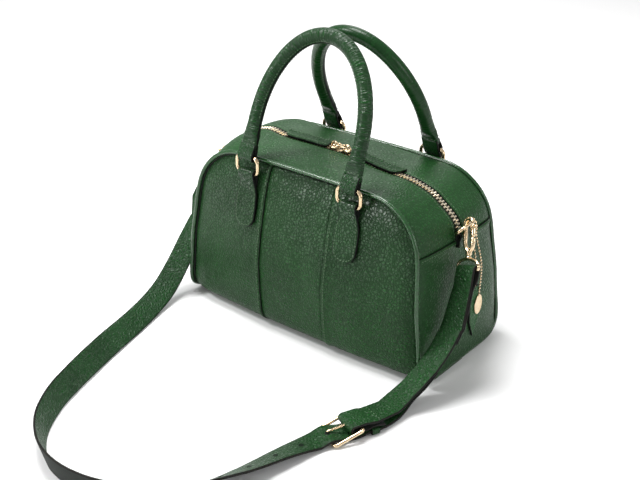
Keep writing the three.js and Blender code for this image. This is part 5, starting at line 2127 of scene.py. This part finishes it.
@dataclass
class ShoulderStrap:
    """The two straps, the buckle that joins them and the keeper."""

    fittings: StrapEnds
    width: float = 25.0
    thick: float = 2.2
    under_rows: int = 5
    hole_reach: float = 130.0
    heel_slack: float = 7.0
    sewn_share: float = 0.8
    sewn_half: float = 9.5
    heel: Vector = field(default_factory=lambda: Vector((141.8, -157.5, 10.0)))
    frame_length: float = 28.0
    frame_drop: float = 7.6
    frame_half: float = 14.6
    frame_wire: float = 1.7
    heading: Vector = field(default_factory=lambda: Vector((-0.392, -0.92, 0)).normalized())
    long_route: tuple[RouteRow, ...] = (
        RouteRow(-161.5, -38, 15, 71), RouteRow(-162, -58, 18, 48), RouteRow(-160.5, -79, 22, 25),
        RouteRow(-156, -103, 26, 8.5), RouteRow(-148, -131, 30, 1.8), RouteRow(-137, -165, 35, 0),
        RouteRow(-124, -207, 42, 0), RouteRow(-112, -241, 50, 0), RouteRow(-101, -270, 57, 0),
        RouteRow(-86, -304, 64, 0), RouteRow(-60, -339, 72, 0), RouteRow(-22, -362, 78, 0),
        RouteRow(22, -364, 76, 0), RouteRow(62, -345, 64, 0), RouteRow(92, -310, 46, 0),
        RouteRow(108.5, -268, 30, 0), RouteRow(113, -250, 24, 0), RouteRow(118, -226, 17, 0),
        RouteRow(122.5, -207, 9, 0), RouteRow(126.2, -194.5, 2, 1), RouteRow(130.8, -183.3, 0, 4.6),
        RouteRow(137.1, -168.5, 0, 0.8), RouteRow(141.8, -157.5, 0, 0.6), RouteRow(144.5, -151.1, 0, 1.9),
        RouteRow(149.2, -140, 0, 1.9), RouteRow(151, -121, 2, 0.6), RouteRow(151.5, -104, 4, 5.2),
        RouteRow(156.9, -87.7, 5, 15.8), RouteRow(161.4, -73, 6, 28),
    )
    short_route: tuple[RouteRow, ...] = (
        RouteRow(165, -43.2, 20, 57.4), RouteRow(164.1, -58.6, 12, 43.3), RouteRow(161.4, -75.1, 6, 30.7),
        RouteRow(156.9, -89.8, 5, 19.1), RouteRow(151.8, -106, 4, 9.4), RouteRow(151, -121, 2, 7.2),
    )
    per_row: int = 6
    layer_gap: float = 0.15
    fold_middle: int = 8
    fold_slack: float = 0.4
    frame_corner: float = 2.5
    keeper_back: float = 13.0
    keeper_z: float = 3.4
    keeper_reach: Span = (13.65, 2.25)
    keeper_corner: float = 1.05
    keeper_half: float = 4.0
    keeper_thick: float = 1.2
    # The eye fold's layers past the fold: distance from the bar, distance from the strap's middle
    eye_lead: tuple[Span, ...] = ((10.0, 2.8), (16.0, 2.3))
    # The prong: distance from the heel bar, height over it, radius
    prong: tuple[Triple, ...] = (
        (5.6, 0.3, 1.2), (10.0, 0.2, 1.25), (17.0, -0.4, 1.2),
        (24.0, -0.8, 1.1), (27.6, -1.05, 1.0), (28.8, -1.1, 0.5),
    )

    @property
    def across(self) -> Vector:
        """The direction across the buckle."""
        return Vector((-self.heading.y, self.heading.x, 0))

    def _stations(self, rows: Sequence[RouteRow], outer: int, per_row: int) -> list[Station]:
        """The stations of a route.

        Args:
            rows: The route.
            outer: The sign of the side whose edge the tilt lifts.
            per_row: The steps between two rows.

        Returns:
            Stations with their width directions.
        """
        points = []
        for row in rows:
            tilt = math.radians(row.tilt)
            lying = self.width / 2 * math.sin(tilt) + self.thick / 2 * math.cos(tilt) + 0.2
            points.append(Vector((row.x, row.y, lying + row.lift)))
        line = spline(points, per_row)
        made = []
        for i, (point, ahead) in enumerate(zip(line, directions(line))):
            k = min(i // per_row, len(rows) - 2)
            share = i / per_row - k
            tilt = math.radians(rows[k].tilt + (rows[k + 1].tilt - rows[k].tilt) * share)
            flat = Vector((-ahead.y, ahead.x, 0)).normalized() * math.cos(tilt)
            wide = flat + Z_AXIS * (outer * math.sin(tilt))
            made.append(Station(point, wide, self.width / 2, self.thick))
        return made

    def _eye_fold(self, bar: Vector, wide: Vector, route: list[Station]) -> list[Station]:
        """The strap's end folded round an eye.

        Args:
            bar: The middle of the eye's bar.
            wide: The direction along the bar.
            route: The strap's own stations, from the eye on.

        Returns:
            The short layer behind the strap, the fold, and the strap's first stretch.
        """
        ahead = (route[0].point - bar).normalized()
        down = (ahead - wide * ahead.dot(wide)).normalized()
        face = down.cross(wide).normalized()
        radius = self.fittings.eye_wire + self.fold_slack + self.thick / 2
        size = (self.width / 2, self.thick)
        lead = [(5.0, radius), *self.eye_lead]
        front = strap_along([bar + down * a + face * off for a, off in lead], wide, *size)
        under = strap_along([bar + down * a - face * off for a, off in lead[:2]], wide, *size)
        fold = strap_along(arc(bar, -face, -down, radius, 15, 165, 10), wide, *size)
        run = [*front, *route[: self.under_rows]]
        behind = []
        for station, heading in zip(run, directions([s.point for s in run])):
            normal = heading.cross(station.wide).normalized()
            point = station.point - normal * (self.thick + self.layer_gap)
            behind.append(Station(point, station.wide, *size))
        return [*reversed(behind[2:]), *reversed(under), *fold, *front]

    def _by_heel(self, along: float, height: float) -> Vector:
        """A place by the buckle's heel bar."""
        return self.heel + self.heading * along + Z_AXIS * height

    def _buckle_fold(self) -> list[Station]:
        """The short strap's end round the heel bar, with the under layer that runs back.

        Returns:
            The stations.
        """
        radius = self.frame_wire + self.fold_slack + self.thick / 2
        over = [(-13, 1.7), (-9, 2.6), (-5, 3.3), (0, radius), (3.5, radius)]
        under = [(3.5, -radius), (0, -radius), (-5, -3.2), (-9, -2.2), (-13, -1.7), (-17, -1.9), (-23, -3.4)]
        points = [self._by_heel(*p) for p in over]
        points += arc(self._by_heel(self.heel_slack, 0.0), self.heading, Z_AXIS, radius, 80, -80, 10)
        points += [self._by_heel(*p) for p in under]
        return strap_along(points, self.across, self.width / 2, self.thick)

    def _holes(self, route: list[Station]) -> Piece:
        """The punched holes of the long strap, from the prong on, away from the buckle.

        Args:
            route: The long strap's stations.

        Returns:
            The finished piece.
        """
        tip = self._by_heel(self.prong[-1][0], 0.0)
        first = min(range(len(route)), key=lambda i: (route[i].point - tip).length)
        line, lift, gone = [], [], 0.0
        headings = directions([s.point for s in route])
        for i in range(first, 0, -1):
            face = headings[i].cross(route[i].wide).normalized()
            line.append(route[i].point + face * (self.thick / 2 + route[i].crown))
            lift.append(face)
            gone += (line[-1] - line[-2]).length if len(line) > 1 else 0.0
            if gone > self.hole_reach:
                break
        # The holes wear edge paint; their dark dishes are painted shade in the holes
        holes = Repeats.run("strap_holes", Repeats.holes(), [(line, lift)], EDGE.material())
        return settle(holes, BAG, "strap_leather")

    def _sewn_row(self, last: Station, fold: Station) -> None:
        """The stitches across the strap where its fold is sewn down.

        Args:
            last: The last station before them.
            fold: The first station after them.
        """
        face = (fold.point - last.point).cross(last.wide).normalized()
        face = face if face.z > 0 else -face
        middle = last.point.lerp(fold.point, self.sewn_share) + face * (self.thick / 2 + last.crown + 0.1)
        wide = last.wide.lerp(fold.wide, self.sewn_share).normalized()
        row = [middle + wide * u for u in steps(-self.sewn_half, self.sewn_half, 8)]
        SEWING.row(BAG, row, [face] * len(row))

    @staticmethod
    def _strap(node: str, strap: list[Station]) -> Piece:
        """One piece of strap leather in place of its solid."""
        finishes = leather_finishes(STRAP_LEATHER, STRAP_EDGE)
        return settle(Shape().ribbon(strap).build(f"{node}_leather", finishes), BAG, "strap_leather", node)

    def buckle(self) -> list[Piece]:
        """The frame, the prong and the keeper.

        Returns:
            The three pieces.
        """
        along = (self.heading * self.frame_length - Z_AXIS * self.frame_drop).normalized()
        half = math.hypot(self.frame_length, self.frame_drop) / 2
        reach = (self.frame_half, half)
        loop = rounded_loop(self.heel + along * half, self.across, along, reach, self.frame_corner, 6)
        metal = gilded(Shape().wire(loop, self.frame_wire, closed=True), "buckle_frame")
        line = [self._by_heel(a, h) for a, h, _ in self.prong]
        prong = gilded(Shape().wire(line, [radius for _, _, radius in self.prong]), "buckle_prong")
        centre = self._by_heel(-self.keeper_back, 0.0)
        centre.z = self.keeper_z
        path = rounded_loop(centre, self.across, Z_AXIS, self.keeper_reach, self.keeper_corner, 5)
        path.append(path[0] + self.across * 0.01)
        band = [Station(p, self.heading, self.keeper_half, self.keeper_thick, 0.05) for p in path]
        return [metal, prong, self._strap("strap_keeper", band)]

    def build(self) -> None:
        right, left = (self.fittings.fitting(end) for end in (End.RIGHT, End.LEFT))
        left_eye, left_wide = left.eye * MIRROR, left.wide * MIRROR
        short = self._stations(self.short_route, 1, self.per_row)
        long = self._stations(self.long_route, -1, self.per_row)
        fold = self._buckle_fold()
        self._sewn_row(short[-1], fold[0])
        short_all = [*self._eye_fold(right.eye, right.wide, short), *short, *fold]
        long_all = [*self._eye_fold(left_eye, -left_wide, long), *long]
        pieces = [*self.buckle(), self._holes(long)]
        for node, strap, start, going in (
            ("short_strap", short_all, right.eye, pieces[:2]),
            ("long_strap", long_all, left_eye, pieces[2:]),
        ):
            piece = self._strap(node, strap)


@dataclass
class HangTag:
    """The pointed leather fob and the plain oval charm on a ball chain."""

    fittings: StrapEnds
    y: float = 12.0
    hang_y: float = 9.0
    top: float = 77.0
    half: float = 9.2
    length: float = 55.0
    thick: float = 2.2
    stitch_inset: float = 1.9
    charm_half: float = 6.6
    charm_length: float = 21.0
    wire: float = 0.9
    # Share of the fob's length and its half width there
    outline: tuple[Span, ...] = (
        (0.0, 0.5), (0.04, 0.66), (0.12, 0.86), (0.22, 1.0), (0.45, 1.0),
        (0.66, 0.9), (0.82, 0.55), (0.94, 0.2), (1.0, 0.05),
    )
    # Distance from the charm's middle plane and how far its oval grows there
    charm_rows: tuple[Span, ...] = (
        (-0.75, -0.6), (-0.45, -0.1), (0.0, 0.0), (0.45, -0.1), (0.75, -0.6), (0.55, -1.3), (0.5, -4.5),
    )

    def build(self) -> None:
        """Makes the tag."""
        self._fob()
        self._charm()
        self._chain()

    def _fob(self) -> None:
        """The pointed fob with a row of stitches along each edge."""
        low, high = (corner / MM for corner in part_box("tag_fob"))
        x = (low.x + high.x) / 2
        strap = []
        for share in steps(0, 1, 26):
            point = Vector((x, self.y, self.top - self.length * share))
            half = self.half * table_value(self.outline, share, 1)
            strap.append(Station(point, Y_AXIS, half, self.thick, 0.1))
        # The fob wears the brightened leather: painted light
        leathered(Shape().ribbon(strap), "tag_fob", LIT_TAG_LEATHER)
        for sign in (-1, 1):
            line = []
            for share in steps(0.06, 0.86, 22):
                wide = self.half * table_value(self.outline, share, 1) - self.stitch_inset
                line.append(Vector((high.x + 0.15, self.y + sign * wide, self.top - self.length * share)))
            SEWING.row(BAG, line, [X_AXIS] * len(line))

    def _charm(self) -> None:
        """A plain oval plate with a rounded rim."""
        low, high = (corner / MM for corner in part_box("tag_charm"))
        middle = (low + high) / 2
        rings = []
        for x, grow in self.charm_rows:
            wide, tall = Y_AXIS * (self.charm_half + grow), Z_AXIS * (self.charm_length / 2 + grow)
            rings.append(arc(middle + X_AXIS * x, wide, tall, 1.0, 0, 360, 40)[:-1])
        gilded(Shape().loft(rings), "tag_charm")

    def _chain(self) -> None:
        """The ball chain from the fob, over the D-ring's bow, down to the charm."""
        ends = self.fittings
        fit, start = ends.fitting(End.RIGHT), ends.ring_foot.start
        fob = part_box("tag_fob")[0] / MM
        charm, charm_high = (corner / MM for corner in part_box("tag_charm"))
        share = math.sqrt(1 - (self.hang_y / ends.ring_half) ** 2)
        bow = fit.bar + Y_AXIS * self.hang_y + fit.out * (start + (ends.ring_depth - start) * share)
        over = 1.2 * ends.ring_wire + self.wire + 0.65
        route = [
            Vector((fob.x + 1.1, self.y - 0.5, self.top + GAP)),
            Vector((fob.x + 0.6, self.y - 0.8, 100)),
            Vector((bow.x - over + 1.8, self.hang_y + 0.2, bow.z - 10)),
            Vector((bow.x - over + 0.4, self.hang_y, bow.z)),
            Vector((bow.x, self.hang_y, bow.z + over)),
            Vector((bow.x + over, self.hang_y, bow.z)),
            Vector((bow.x + over + 0.3, self.hang_y + 0.8, bow.z - 12)),
            Vector((charm.x + 1.6, self.y + 2.6, 100)),
            Vector((charm.x + 0.75, self.y + 4, charm_high.z + GAP)),
        ]
        line = spline(route, 10)
        lines = [(line, [Y_AXIS] * len(line))]
        beads = Repeats.run("tag_ball_chain", Repeats.beads(), lines, GOLD.material())
        settle(beads, BAG, "gold_metal", "tag_chain")


@dataclass
class Studio:
    """The pale floor, the soft lights and the camera."""

    azimuth: float = 38.93
    elevation: float = 26.27
    roll: float = 0.23
    eye: Triple = (0.5852, -0.7568, 0.5537)
    lens: float = 58.65
    sensor: float = 36.0
    clip: Span = (0.05, 20.0)
    aim: Triple = (0.0, 0.0, 0.12)
    sky: float = 0.5
    floor: Backdrop = Backdrop("pale_floor", (0.82, 0.82, 0.82))
    floor_half: float = 6000.0
    floor_drop: float = 0.3

    def camera(self) -> None:
        """Sets the camera at the photograph's angle."""
        a, e, r = (math.radians(v) for v in (self.azimuth, self.elevation, self.roll))
        back = Vector((math.sin(a) * math.cos(e), -math.cos(a) * math.cos(e), math.sin(e)))
        right = Vector((math.cos(a), math.sin(a), 0))
        up = back.cross(right)
        right, up = right * math.cos(r) + up * math.sin(r), up * math.cos(r) - right * math.sin(r)
        data = bpy.data.cameras.new("photo_camera")
        data.lens, data.sensor_width, data.sensor_fit = self.lens, self.sensor, "HORIZONTAL"
        data.clip_start, data.clip_end = self.clip
        camera = bpy.data.objects.new("photo_camera", data)
        camera.matrix_world = Matrix.Translation(self.eye) @ Matrix((right, up, back)).transposed().to_4x4()
        bpy.context.scene.collection.objects.link(camera)
        bpy.context.scene.camera = camera

    def light(self, name: str, place: Triple, size: float, watts: float) -> None:
        """A square softbox that faces the bag.

        Args:
            name: The light's name.
            place: Where it hangs, in metres.
            size: Its side in metres.
            watts: Its power.
        """
        data = bpy.data.lights.new(name, "AREA")
        data.energy, data.size = watts, size
        lamp = bpy.data.objects.new(name, data)
        lamp.location = place
        lamp.rotation_euler = (Vector(self.aim) - Vector(place)).to_track_quat("-Z", "Y").to_euler()
        bpy.context.scene.collection.objects.link(lamp)

    def build(self) -> None:
        """Makes the floor, lights, sky and camera."""
        sheet, half = Shape(), self.floor_half
        corners = ((-half, -half), (half, -half), (half, half), (-half, half))
        sheet.points = [Vector((x, y, -self.floor_drop)) for x, y in corners]
        sheet.faces, sheet.slots = [(0, 1, 2, 3)], [0]
        sheet.build("studio_floor", [self.floor.material()])
        self.light("overhead_softbox", (-0.3, 0.0, 1.5), 0.6, 25)
        self.light("front_left_softbox", (-0.75, -1.8, 0.65), 0.5, 13)
        self.light("high_front_softbox", (-1.0, -0.8, 1.4), 0.35, 18)
        self.light("back_left_softbox", (-1.0, 1.6, 1.5), 0.9, 9)
        self.light("right_softbox", (1.7, 0.1, 0.8), 0.6, 7)
        world = bpy.data.worlds.new("studio_sky")
        world.use_nodes = True
        sky = world.node_tree.nodes["Background"].inputs
        sky[0].default_value = (1.0, 1.0, 1.0, 1.0)
        sky[1].default_value = self.sky
        bpy.context.scene.world = world
        bpy.context.scene.view_settings.view_transform = "Standard"
        self.camera()


def main() -> None:
    """Builds the bag piece by piece."""
    logging.basicConfig(level=logging.INFO, format="%(name)s: %(message)s")
    Studio().build()
    fittings = StrapEnds()
    ShoulderStrap(fittings).build()
    BodyShell().build()
    ZipClosure().build()
    CarryHandles().build()
    fittings.build()
    HangTag(fittings).build()
    SEWING.sew()


if __name__ == "__main__":
    main()
